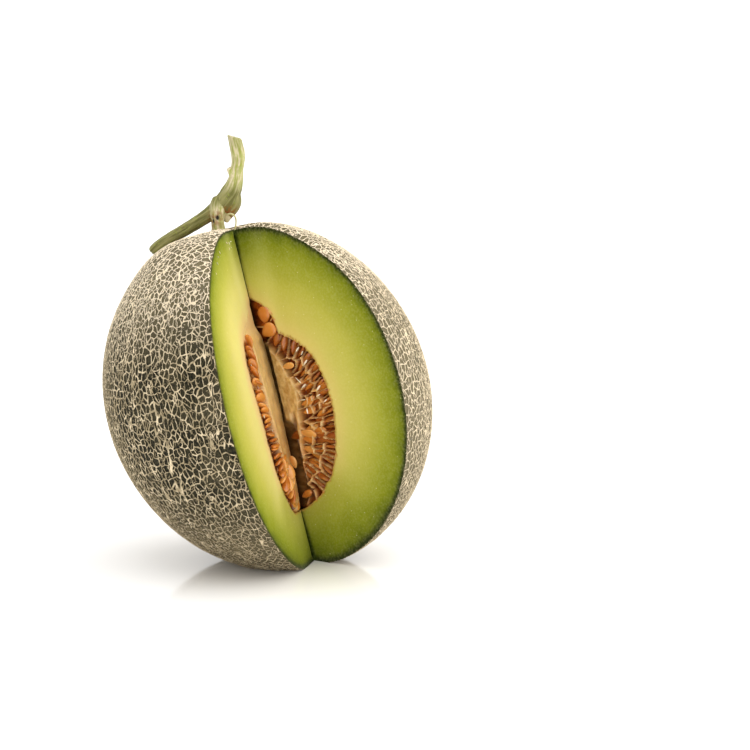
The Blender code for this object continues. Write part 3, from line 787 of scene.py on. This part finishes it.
def make_flesh(side, rim, material):
    """One cut face, from the rind's own edge in to the hollow, and down the hollow's wall a little."""
    outwards, facing = cut_face(side)
    rises = np.linspace(-math.pi / 2, math.pi / 2, len(rim))
    ways = outwards * np.cos(rises)[:, None] + np.array((0, 0, 1)) * np.sin(rises)[:, None]
    heart, turn = placed(HEART), np.array(FRUIT.to_3x3())
    row_ways, row_facing = ways @ turn.T, turn @ facing
    from_pole = math.pi / 2 - np.abs(rises)
    fade = smoothstep(from_pole, 0.05, 0.25)
    far = np.linalg.norm(rim - heart, axis=1)
    near = inner_edge(side, rises) + scallops(side, rises) * SCALLOP * fade
    share = np.linspace(0, 1, FLESH_STEPS + 1) ** 1.6
    reach = far[:, None] + (near - far)[:, None] * share
    points = heart + row_ways[:, None, :] * reach[..., None]
    points[:, 0] = rim
    wave = waves(points.reshape(-1, 3), 7 * MM).reshape(reach.shape)
    calm = smoothstep(share, 0, 0.2)[None, :] * smoothstep(from_pole, 0, 0.1)[:, None]
    points += row_facing * (wave * calm * FLESH_WAVE)[..., None]
    from_crease = reach * np.cos(rises)[:, None]
    groove = np.exp(-((from_crease / CREASE_WIDTH) ** 2)) * smoothstep(share, 0.02, 0.12)[None, :]
    points += turn @ np.array((0, 1, 0)) * (groove * CREASE_DEPTH)[..., None]
    sink = np.linspace(0, 1, WALL_STEPS + 1)[1:] ** 1.2
    wall = points[:, -1:, :] - row_facing * (sink * WALL_DEPTH)[None, :, None]
    wall += row_ways[:, None, :] * (smoothstep(sink, 0, 0.5) * WALL_FLARE * fade[:, None])[..., None]
    whole = np.concatenate([points, wall], axis=1)
    reach = np.concatenate([reach, np.repeat(near[:, None], WALL_STEPS, 1)], axis=1)
    fields = flesh_values(side, rises, reach, far, near)
    fields["cut_place"] = ways[:, None, :] * reach[..., None]
    name = "flesh_right" if side > 0 else "flesh_left"
    mesh = mesh_of(name, whole.reshape(-1, 3), [grid_faces(*reach.shape, flip=side > 0)], fields)
    hand_in(add_object(name, mesh, material), "flesh")


def flesh_material():
    material, tree, shader = new_material("green_flesh")
    place = attribute(tree, "cut_place", "Vector")
    depth, to_seeds, cream_share_and_side_light = (attribute(tree, name) for name in ("from_rind", "to_seeds", "cream_share_and_side_light"))
    ragged = spread(tree, cloud(tree, place, 9 * MM, 3.0), 0.3, 0.7, -0.9, 0.9)
    body = stops(tree, spread(tree, maths(tree, "ADD", depth, ragged), 0.0, 40.0, smooth=False), (
        (0.0, shade(66, 78, 6)), (0.05, shade(96, 106, 10)), (0.13, shade(128, 136, 24)),
        (0.3, shade(160, 162, 54)), (0.55, shade(186, 183, 76)), (1.0, shade(212, 201, 106)),
    ))
    # Painted shade: the flesh darkened along the crease where the two cuts meet, over the groove that the
    # mesh has there
    crease_width = spread(tree, depth, 0.0, 15.0, 3.0, 0.7)
    crease = maths(tree, "DIVIDE", attribute(tree, "from_crease"), crease_width)
    dots = node(tree, "ShaderNodeTexVoronoi", {"Vector": place, "Scale": 1 / DOT_CELL}, feature="F1")
    # The cream near the seeds is the flesh's own; its larger share on the left face is painted light
    body = layered(tree, body, (
        (times(tree, spread(tree, to_seeds, 0.0, 30.0, 0.85, 0.0), cream_share_and_side_light), shade(242, 232, 146)),
        (times(tree, spread(tree, to_seeds, 0.0, 10.0, 1.0, 0.0), cream_share_and_side_light), shade(240, 206, 144)),
        (times(tree, attribute(tree, "core"), 0.95), shade(248, 241, 166)),
        (spread(tree, depth, 0.3, 2.3, 0.96, 0.0), shade(24, 36, 4)),
        (spread(tree, crease, 0.15, 1.0, 0.92, 0.0), shade(50, 66, 14)),
        (spread(tree, to_seeds, 0.0, 1.3, 0.55, 0.0), shade(206, 144, 66)),
        (spread(tree, cloud(tree, place, 1.0 * MM), 0.35, 0.8, 0.0, 0.1), shade(240, 236, 170)),
        (spread(tree, dots.outputs["Distance"], 0.04, 0.09, 0.5, 0.0), shade(244, 240, 190)),
    ))
    feed(tree, shader, {
        "Base Color": body, "Roughness": 0.38,
        "Specular IOR Level": 0.18, "Specular Tint": shade(255, 250, 200),
        "Subsurface Weight": 0.18, "Subsurface Radius": (1.0, 0.9, 0.3), "Subsurface Scale": 3 * MM,
    })
    add_bump(tree, shader, cloud(tree, place, 0.8 * MM, 3.0, 0.6), 0.12 * MM, 0.5)
    return material


# The pulp and its seeds


def way_at(degrees):
    return Vector((math.cos(math.radians(degrees)), math.sin(math.radians(degrees))))


def seed_place(side, out, up, depth, way, *rest):
    """A seed's values, with its place and depth turned from millimetres to the fruit's frame."""
    return side, out * MM, up * MM + HOLLOW_CENTRE.z, depth * MM, way, *rest


def seed_places():
    """Each seed: its side, place along the cut (out, up), depth under it, way, roll, sizes and tint."""
    draw = random.Random(SEED_SEED)
    places = []
    for side, rows in SEED_ROWS.items():
        for inset, (low, high), count, depths, thin_share, tints in rows:
            for number in range(count):
                up = low + (high - low) * (number + 0.5 + draw.uniform(-0.3, 0.3)) / count
                way = way_at(np.interp(up, *zip(*SEED_TURN)) + draw.uniform(-SEED_SWAY, SEED_SWAY))
                edge = float(hollow_reach(side, up * MM + HOLLOW_CENTRE.z)) / MM
                spot = Vector((edge, up)) - way * (inset + draw.uniform(-1.0, 1.0))
                thin = draw.random() < thin_share
                roll = draw.choice((-1, 1)) * draw.uniform(*(THIN_ROLL if thin else FLAT_ROLL))
                places.append(seed_place(
                    side, *spot, draw.uniform(*depths), way, roll, draw.uniform(*SEED_LENGTHS),
                    draw.uniform(*SEED_PLUMPNESS), draw.uniform(*tints) * PALEST_SEED,
                ))
    for *spot, turn, roll, length, plump, tint in LONE_SEEDS:
        sizes = (math.radians(roll), length, plump, tint * PALEST_SEED)
        places.append(seed_place(*spot, way_at(turn), *sizes))
    return places


def glint_fleck_places():
    return [seed_place(*spot, way_at(turn), GLINT_FLECK_ROLL, length, GLINT_FLECK_PLUMPNESS, 1.0)
            for *spot, turn, length in GLINT_FLECKS]


def seed_tree(material):
    """Geometry Nodes: a flattened drop on every point, turned and sized by the point's own values."""
    tree, given = new_group("seeds_on_points", (
        ("Seed length", "Float", SEED_LENGTH), ("Seed width", "Float", SEED_WIDTH),
        ("Seed thickness", "Float", SEED_THICKNESS), ("Sides", "Int", 14), ("Rings", "Int", 11),
    ))
    inputs = {"Segments": given["Sides"], "Rings": given["Rings"], "Radius": 0.5}
    ball = node(tree, "GeometryNodeMeshUVSphere", inputs)
    here = node(tree, "GeometryNodeInputPosition").outputs[0]
    across, through, along = (part_of(tree, here, axis) for axis in "XYZ")
    from_round_end = maths(tree, "POWER", maths(tree, "SUBTRACT", 0.5, along), 2.0)
    taper = maths(tree, "SUBTRACT", 1.06, times(tree, SEED_TAPER, from_round_end))
    wide = times(tree, times(tree, across, given["Seed width"]), taper)
    thick = times(tree, times(tree, through, given["Seed thickness"]), taper)
    long = times(tree, along, given["Seed length"])
    spot = node(tree, "ShaderNodeCombineXYZ", {0: wide, 1: thick, 2: long}).outputs[0]
    drop = node(tree, "GeometryNodeSetPosition", {"Geometry": ball.outputs[0], "Position": spot}).outputs[0]
    smooth = node(tree, "GeometryNodeSetShadeSmooth", {0: drop}).outputs[0]
    inputs = {"Points": given["Geometry"], "Instance": smooth}
    inputs |= {"Rotation": point_value(tree, "turn"), "Scale": point_value(tree, "size")}
    end_group(tree, node(tree, "GeometryNodeInstanceOnPoints", inputs).outputs[0], material)
    return tree


def make_seeds(places, material):
    spots, turns, sizes, tints = [], [], [], []
    for side, out, high, depth, way, roll, length, plump, tint in places:
        outwards, facing = (Vector(vector) for vector in cut_face(side))
        long = outwards * way.x + Vector((0, 0, way.y))
        across = facing.cross(long).normalized()
        basis = Matrix((across, long.cross(across), long)).transposed()
        spots.append(FRUIT @ (Vector(HEART) + outwards * out + Vector((0, 0, high)) - facing * depth))
        turns.append((FRUIT.to_3x3() @ basis @ Matrix.Rotation(roll, 3, "Z")).to_euler())
        sizes.append((length * plump, length * plump, length))
        tints.append(tint)
    mesh = bpy.data.meshes.new("seed_points")
    mesh.from_pydata([tuple(spot) for spot in spots], [], [])
    give_values(mesh, {"turn": turns, "size": sizes, "tint": tints})
    points = add_object("seed_points", mesh)
    points.modifiers.new("seeds", "NODES").node_group = seed_tree(material)
    made = evaluated_mesh(points)
    made.name = "seeds"
    hand_in(add_object("seeds", made), "pulp_and_seeds")


def seed_material():
    material, tree, shader = new_material("wet_seeds")
    place = own_place(tree)
    # The near-white end of the ramp is reached only by the flecks: painted glints
    shell = stops(tree, attribute(tree, "tint"), (
        (0.0, shade(150, 66, 8)), (0.35, shade(190, 102, 26)), (0.65, shade(220, 138, 50)),
        (0.9, shade(236, 170, 90)), (1.0, shade(255, 248, 232)),
    ))
    mottle = spread(tree, cloud(tree, place, 3.0 * MM), 0.3, 0.7, 0.0, 0.3)
    feed(tree, shader, {
        "Base Color": blend(tree, mottle, shell, shade(232, 170, 86)), "Roughness": 0.28,
        "Coat Weight": 0.45, "Coat Roughness": 0.05,
        "Subsurface Weight": 0.12, "Subsurface Radius": (1.0, 0.5, 0.2), "Subsurface Scale": 1.5 * MM,
    })
    add_bump(tree, shader, cloud(tree, place, 1.1 * MM), 0.1 * MM, 0.5)
    return material


def pocket_field(side, out, high, places):
    """At points of a cut face: 1 on the membranes between neighbouring seeds, 0 in their pockets."""
    first = np.full(out.shape, 1.0)
    second = np.full(out.shape, 1.0)
    for seed_side, seed_out, seed_high, _, way, *_ in places:
        if seed_side != side:
            continue
        along = (out - seed_out) * way.x + (high - seed_high) * way.y
        across = -(out - seed_out) * way.y + (high - seed_high) * way.x
        distance = np.hypot(along / POCKET_STRETCH, across)
        second = np.minimum(second, np.maximum(first, distance))
        first = np.minimum(first, distance)
    return 1 - smoothstep(second - first, 0.4 * MEMBRANE_LINE, 2.2 * MEMBRANE_LINE)


def pulp_pit(out, share, ripple):
    """The brown pit low in the right side's pulp: 1 on its floor; and the ridge along it."""
    (low, high), wide = PIT_SPAN, np.interp(share, PIT_SPAN, PIT_WIDTH) + ripple * 1.4 * MM
    along = share + 0.05 * ripple - 0.012 * out / MM + 0.06
    pit = smoothstep(along, low, low + 0.12) * (1 - smoothstep(along, high - 0.14, high))
    pit *= 1 - smoothstep(out, wide - 2.0 * MM, wide)
    return pit, pit * np.exp(-(((out - PIT_RIDGE) / (1.3 * MM)) ** 2)) * np.clip(0.6 + 1.2 * ripple, 0, 1)


def pulp_side(side, places):
    """The pulp's points under one cut face, from the crevice out to the hollow's wall, and their values."""
    outwards, facing = cut_face(side)
    left, right = side < 0, side > 0
    share = np.sin(np.linspace(-math.pi / 2, math.pi / 2, PULP_ROWS))[:, None]
    high = HOLLOW_CENTRE.z + share * (HOLLOW_LENGTH / 2 - 0.4 * MM)
    wall = hollow_reach(side, high)
    tuck = PULP_TUCK + 2.4 * MM * smoothstep(share, 0.6, 0.7) * left
    out = (wall + tuck) * np.linspace(0, 1, PULP_COLUMNS)[None, :] ** 1.15
    high, share, from_seam = high + 0 * out, share + 0 * out, wall - out
    flat = np.stack([out, high, np.full(out.shape, side * 0.05)], axis=-1)
    ripple = waves(flat.reshape(-1, 3), 4.5 * MM).reshape(out.shape)
    fine = waves(flat.reshape(-1, 3), 1.2 * MM, 5.0).reshape(out.shape)
    strand = waves((flat * (1, 0.3, 1)).reshape(-1, 3), 1.6 * MM, 9.0).reshape(out.shape)

    # The smooth band beside the crevice, and the membranes round the seeds
    reach = np.interp(share, *zip(*BAND_REACH[side])) * MM + ripple * 1.3 * MM
    band = 1 - smoothstep(out, reach - 1.6 * MM, reach + 0.5 * MM)
    web = pocket_field(side, out, high, places) * smoothstep(ripple + 0.6 * fine, -0.7, -0.3)
    ridge = np.maximum(web, 1 - smoothstep(from_seam, 0.2 * MM, 1.4 * MM))
    hug = smoothstep(share, 0.58, 0.68) * (1 - smoothstep(from_seam, 0.0, 11 * MM)) * left
    flush = np.maximum(smoothstep(share, 0.62, 0.78) * left, hug)
    bulge = BAND_RISE[side] * np.sqrt(np.clip(1 - (share * 0.96) ** 2, 0, 1)) + 0.5 * ripple * MM
    bulge = bulge * (1 - np.clip(flush + 0.1 * hug, 0, 1))
    shallow = 1 - 0.72 * smoothstep(share, 0.5, 0.66)
    height = band * bulge + (1 - band) * shallow * (ridge * MEMBRANE_RISE[side] - POCKET_DEPTH[side])
    height += (fine * 0.16 + strand * 0.14) * (1 - 0.8 * flush) * MM
    height += flush * (0.12 - 0.6 * smoothstep(-from_seam, 0, tuck)) * MM
    height -= (1 - smoothstep(1 - np.abs(share), 0.0, 0.03)) * 1.5 * MM

    # The pit and the valley on the right side, and the crevice between the sides
    pit, pit_ridge = pulp_pit(out, share, ripple) if right else np.zeros((2, *out.shape))
    height += (3.0 * pit_ridge - pit * (1.6 * ripple + 0.7 * fine)) * MM - pit * PIT_DEPTH
    shaded_valley = 1 - smoothstep(out, 0.3 * VALLEY_WIDTH, VALLEY_WIDTH)
    shaded_valley *= (1 - smoothstep(share, 0.5, 0.66)) * right
    height -= shaded_valley * VALLEY_DEPTH
    gap = CREVICE_WIDTH * (0.8 + 0.4 * smoothstep(-share, -0.2, 0.6)) * (1 + 0.35 * ripple)
    crevice = np.exp(-((out / gap) ** 2))
    height = height * (1 - crevice)
    deep = np.array((0, 1, 0)) * (crevice * CREVICE_DEPTH)[..., None]
    points = HEART + outwards * out[..., None] + facing * height[..., None] + deep
    points[..., 2] += high

    # Painted shade on the left pulp's slope down to the crevice, which is turned away from the light
    slope_shade = (1 - smoothstep(out, 3.0 * MM, 12.0 * MM)) * (1 - flush) * smoothstep(share, -0.75, -0.3) * left
    stain = (1 - smoothstep(out + ripple * MM, 0.6 * MM, 3.6 * MM)) * smoothstep(share, 0.4, 0.6) * left
    return points, {
        "band": band, "ridge": ridge, "crevice": crevice, "pit": pit, "low": -share, "strand": strand,
        "flush": flush, "slope_shade": slope_shade, "pit_ridge": pit_ridge, "stain": stain, "shaded_valley": shaded_valley,
        "left_side": np.full(out.shape, float(left)), "pulp_place": flat,
    }


def make_pulp(places, material):
    """Both sides of the pulp in one skin, which folds down into the crevice where they meet."""
    (left, left_values), (right, right_values) = (pulp_side(side, places) for side in (-1, 1))
    points = np.concatenate([left[:, :0:-1], right], axis=1)
    fields = {
        name: np.concatenate([values[:, :0:-1], right_values[name]], axis=1)
        for name, values in left_values.items()
    }
    mesh = mesh_of("pulp", placed(points.reshape(-1, 3)), [grid_faces(*points.shape[:2])], fields)
    hand_in(add_object("pulp", mesh, material), "pulp_and_seeds", "seed_mass")


def pulp_material():
    material, tree, shader = new_material("wet_pulp")
    place = attribute(tree, "pulp_place", "Vector")
    names = ("ridge", "strand", "left_side", "slope_shade", "flush", "stain", "shaded_valley", "low", "band", "pit",
             "pit_ridge", "crevice")
    here = {name: attribute(tree, name) for name in names}
    mottle = cloud(tree, place, 2.4 * MM, 3.0, 0.6)
    patches = spread(tree, mottle, 0.3, 0.7)
    pockets = blend(tree, patches, shade(104, 38, 4), shade(190, 98, 22))
    web = blend(tree, patches, shade(212, 148, 80), shade(240, 202, 140))
    brown = blend(tree, patches, shade(140, 90, 32), shade(186, 136, 76))
    low = spread(tree, here["low"], -0.2, 0.7)
    smooth = blend(tree, spread(tree, mottle, 0.25, 0.75), shade(196, 148, 76), shade(232, 194, 122))
    smooth = layered(tree, smooth, (
        (spread(tree, here["strand"], 0.1, 0.6, 0.0, 0.6), shade(236, 206, 146)),
        (times(tree, here["left_side"], 0.7), shade(234, 196, 128)),
        (times(tree, here["slope_shade"], 0.95), shade(132, 108, 64)),
        (here["flush"], shade(240, 206, 144)),
        (times(tree, here["stain"], 0.85), shade(150, 92, 34)),
        # painted shade in the valley beside the crevice, over its real dip
        (times(tree, here["shaded_valley"], 0.9), shade(112, 76, 30)),
        (times(tree, low, spread(tree, mottle, 0.35, 0.6, 0.1, 0.7)), shade(196, 124, 52)),
    ))
    colour = blend(tree, spread(tree, here["ridge"], 0.3, 0.95), pockets, web)
    colour = layered(tree, colour, (
        (here["band"], smooth),
        (here["pit"], blend(tree, here["pit_ridge"], brown, shade(206, 176, 146))),
        # painted shade deep in the crevice
        (spread(tree, here["crevice"], 0.15, 0.7), shade(72, 40, 12)),
    ))
    feed(tree, shader, {
        "Base Color": colour, "Roughness": 0.36, "Coat Weight": 0.2, "Coat Roughness": 0.1,
        "Subsurface Weight": 0.15, "Subsurface Radius": (1.0, 0.6, 0.25), "Subsurface Scale": 2 * MM,
    })
    add_bump(tree, shader, cloud(tree, place, 0.8 * MM, 3.0, 0.65), 0.2 * MM, 0.7)
    return material


# The stem


def smooth_path(stations, steps):
    """Places and radii on a smooth curve through stations of x, y, z and radius in millimetres."""
    knots = np.array([stations[0], *stations, stations[-1]], float) * MM
    shares = np.linspace(0, 1, steps, endpoint=False)[:, None]
    runs = []
    for number in range(1, len(knots) - 2):
        before, start, end, after = knots[number - 1:number + 3]
        runs.append(0.5 * (
            2 * start + (end - before) * shares + (2 * before - 5 * start + 4 * end - after) * shares**2
            + (3 * start - before - 3 * end + after) * shares**3
        ))
    runs.append(knots[-1:])
    path = np.concatenate(runs)
    return path[:, :3], path[:, 3]


def tube_mesh(name, stations, steps=6, sides=20):
    places, radii = smooth_path(stations, steps)
    ways = unit(np.gradient(places, axis=0))
    across = np.array((0.0, 1.0, 0.0))
    rings = []
    turns = np.linspace(0, 2 * math.pi, sides, endpoint=False)[:, None]
    for place, radius, way in zip(places, radii, ways):
        across = unit(across - way * (across @ way))
        ring = np.cos(turns) * across + np.sin(turns) * np.cross(way, across)
        rings.append(place + ring * radius)
    rings = [np.repeat(places[:1], sides, 0), *rings, np.repeat(places[-1:], sides, 0)]
    return mesh_of(name, closed_grid(np.array(rings)), closed_faces(len(rings), sides, ring=True))


def stem_matrix():
    stalk = STALK_FOOT + Vector((0, 0, FRUIT_LENGTH / 2))
    way = np.array(stalk.normalized())
    seat = Vector(way * skin_radius(way[None, :])[0]) - Vector((0, 0, STALK_SEAT_DEPTH))
    return Matrix.Translation(FRUIT @ seat) @ Matrix.Rotation(STEM_YAW, 4, "Z")


def nearest_on(points, stations):
    """For each point: the distance along a path, the turn round it and the gap to its middle line."""
    places, radii = smooth_path(stations, 12)
    run = np.concatenate([[0], np.cumsum(np.linalg.norm(np.diff(places, axis=0), axis=1))])
    gaps = np.linalg.norm(points[:, None] - places[None], axis=2) - radii[None]
    best = gaps.argmin(axis=1)
    ways = unit(np.gradient(places, axis=0))[best]
    offset = points - places[best]
    across = unit(np.array((0.0, 1.0, 0.0)) - ways * ways[:, 1:2])
    other = np.cross(ways, across)
    turn = np.arctan2((offset * other).sum(1), (offset * across).sum(1))
    return run[best], turn, gaps[np.arange(len(points)), best]


def stem_body():
    """Vine, stalk, scar and nub grown into one smooth mesh."""
    paths = {"vine": VINE_PATH, "stalk": STALK_PATH, "scar": SCAR_PATH, "nub": NUB_PATH}
    joined, *others = (add_object(name, tube_mesh(name, path)) for name, path in paths.items())
    for part in others:
        union = joined.modifiers.new(part.name, "BOOLEAN")
        union.operation = "UNION"
        union.object = part
    remesh = joined.modifiers.new("even", "REMESH")
    remesh.mode = "VOXEL"
    remesh.voxel_size = STEM_VOXEL
    remesh.use_smooth_shade = True
    soften = joined.modifiers.new("soften", "SMOOTH")
    soften.factor = 0.6
    soften.iterations = 8
    mesh = evaluated_mesh(joined)
    for part in others:
        bpy.data.objects.remove(part)
    return mesh


def make_stem(material):
    mesh = stem_body()
    points, normals = points_of(mesh), normals_of(mesh)
    vine_run, vine_turn, vine_gap = nearest_on(points, VINE_PATH)
    stalk_run, stalk_turn, stalk_gap = nearest_on(points, STALK_PATH)
    on_stalk = stalk_gap < vine_gap
    run = np.where(on_stalk, stalk_run, vine_run)
    turn = np.where(on_stalk, stalk_turn, vine_turn)

    drift = waves(points, 9 * MM)
    rib = np.cos(STEM_RIBS * turn + 2 * drift) + 0.35 * np.cos(17 * turn + 3 * drift)
    calm = smoothstep(np.abs(stalk_gap - vine_gap), 0.2 * MM, 1.6 * MM)
    rise = rib * STEM_RIB_RISE * calm + waves(points, 2.5 * MM, 3.0) * 0.12 * MM
    from_pit = np.min([np.linalg.norm(points - np.array(spot) * MM, axis=1) for spot in STEM_PITS], axis=0)
    pit = np.exp(-((from_pit / STEM_PIT_WIDTH) ** 2))
    rusty = np.exp(-((from_pit / (1.8 * STEM_PIT_WIDTH)) ** 2))
    rise -= pit * STEM_PIT_DEPTH

    from_tip = np.linalg.norm(points - np.array(SCAR_PATH[-1][:3]) * MM, axis=1)
    scar = 1 - smoothstep(from_tip, 4.5 * MM, 11 * MM)
    scar = np.where(on_stalk, 0.6 * np.clip(2 * rusty, 0, 1), scar)
    height = points[:, 2] / MM
    pale = smoothstep(height, 17, 26) * (1 - 0.4 * smoothstep(height, 33, 42))
    pale += np.where(on_stalk, 0.75, 0) * (1 - smoothstep(height, 10, 16))
    grain = np.stack([np.cos(turn) * 3 * MM, np.sin(turn) * 3 * MM, run * 0.12], axis=1)

    points = points + normals * rise[:, None]
    from_middle = points[:, 0] - VINE_PATH[-1][0] * MM
    points[:, 2] += from_middle * VINE_CUT_SLANT * smoothstep(height, 37, 43)
    give_values(mesh, {"pit": pit, "scar": scar, "pale": np.clip(pale, 0, 1), "grain": grain})
    set_points(mesh, placed(points, stem_matrix()))
    hand_in(add_object("vine_stem", mesh, material), "vine", "stem")


def make_tendril(material):
    mesh = tube_mesh("tendril", TENDRIL_PATH, 8, 8)
    set_points(mesh, placed(points_of(mesh), stem_matrix()))
    level = np.zeros(len(mesh.vertices))
    give_values(mesh, {"pit": level, "scar": level, "pale": level + 1})
    hand_in(add_object("tendril", mesh, material), "vine")


def stem_material():
    material, tree, shader = new_material("dry_vine")
    place = own_place(tree)
    streaks = cloud(tree, attribute(tree, "grain", "Vector"), 1.1 * MM, 3.0, 0.6)
    patches = cloud(tree, place, 4 * MM, 3.0)
    mottle = cloud(tree, place, 1.5 * MM)
    olive = blend(tree, spread(tree, streaks, 0.32, 0.68), shade(100, 98, 44), shade(152, 146, 90))
    olive = blend(tree, spread(tree, mottle, 0.55, 0.7, 0.0, 0.5), olive, shade(146, 156, 58))
    straw = blend(tree, spread(tree, streaks, 0.38, 0.62), shade(166, 170, 82), shade(230, 214, 178))
    straw = layered(tree, straw, (
        (spread(tree, mottle, 0.52, 0.7, 0.0, 0.45), shade(190, 170, 136)),
        (spread(tree, patches, 0.55, 0.66, 0.0, 0.6), shade(156, 166, 72)),
    ))
    colour = layered(tree, olive, (
        (times(tree, attribute(tree, "pale"), spread(tree, patches, 0.3, 0.6, 0.75, 1.0)), straw),
        (times(tree, attribute(tree, "scar"), spread(tree, mottle, 0.4, 0.58, 0.1, 1.0)), shade(132, 70, 20)),
        (spread(tree, attribute(tree, "pit"), 0.3, 0.8), shade(38, 30, 18)),
    ))
    feed(tree, shader, {"Base Color": colour, "Roughness": 0.6, "Specular IOR Level": 0.3})
    add_bump(tree, shader, streaks, 0.25 * MM, 0.8)
    return material


# The stage


def make_floor():
    corners = np.array(((-1, -1, 0), (1, -1, 0), (1, 1, 0), (-1, 1, 0)), float) * FLOOR_HALF
    material, tree, shader = new_material("white_table")
    place = own_place(tree)
    out = node(tree, "ShaderNodeVectorMath", {0: place}, operation="LENGTH").outputs["Value"]
    colour = blend(tree, cloud(tree, place, 0.6, 1.0), shade(249, 249, 248), shade(252, 252, 252))
    # Painted warm shade on the table near the fruit
    colour = blend(tree, spread(tree, out, *WARM_SHADE_REACH, 0.7, 0.0), colour, shade(250, 245, 236))
    # The table glows, a painted light, except close to the fruit, where the missing glow paints a darker
    # contact shadow
    feed(tree, shader, {
        "Base Color": colour, "Roughness": 0.11,
        "Emission Color": shade(255, 253, 250),
        "Emission Strength": spread(tree, out, *GLOW_CONTACT_SHADOW_REACH, 0.0, TABLE_GLOW),
        "Specular IOR Level": spread(tree, out, *GLOSS_REACH, 0.75, 0.1),
    })
    floor = add_object("floor", mesh_of("floor", corners, [np.array([[0, 1, 2, 3]])]), material)


def make_camera():
    azimuth, elevation = CAMERA_AZIMUTH, CAMERA_ELEVATION
    level = math.cos(elevation)
    back = Vector((math.sin(azimuth) * level, -math.cos(azimuth) * level, math.sin(elevation)))
    right = Vector((math.cos(azimuth), math.sin(azimuth), 0))
    up = back.cross(right)
    place = FRUIT.translation + back * CAMERA_DISTANCE + right * CAMERA_RIGHT + up * CAMERA_UP
    data = bpy.data.cameras.new("camera")
    data.sensor_width = 36
    data.lens = CAMERA_LENS
    camera = add_object("camera", data)
    camera.matrix_world = Matrix.Translation(place) @ Matrix((right, up, back)).transposed().to_4x4()
    bpy.context.scene.camera = camera


def add_soft_light(name, power, angle, way_from):
    """Even light from one side of the room, whose source looks as wide as the angle."""
    data = bpy.data.lights.new(name, "SUN")
    data.energy = power
    data.angle = math.radians(angle)
    add_object(name, data).rotation_euler = Vector(way_from).to_track_quat("Z", "Y").to_euler()


def make_light():
    """Soft light from above and from the right, in a white room that is brightest low down."""
    for light in SOFT_LIGHTS:
        add_soft_light(*light)
    world = bpy.data.worlds.new("white_room")
    world.use_nodes = True
    tree = world.node_tree
    rise = part_of(tree, node(tree, "ShaderNodeTexCoord").outputs["Generated"], "Z")
    strength = spread(tree, rise, *ROOM_BAND, *ROOM_LIGHT)
    feed(tree, tree.nodes["Background"], {"Color": (1, 1, 1, 1), "Strength": strength})
    bpy.context.scene.world = world
    bpy.context.scene.view_settings.view_transform = "Standard"


def main():
    make_camera()
    make_light()
    make_floor()
    rind, flesh, stem = rind_material(), flesh_material(), stem_material()
    lifted, fields = rind_skin(rind)
    make_rind(lifted, fields, rind)
    make_flesh(1, lifted[:, 0], flesh)
    make_flesh(-1, lifted[:, -1], flesh)
    seeds = seed_places()
    make_pulp(seeds, pulp_material())
    make_seeds(seeds + glint_fleck_places(), seed_material())
    make_stem(stem)
    make_tendril(stem)


main()
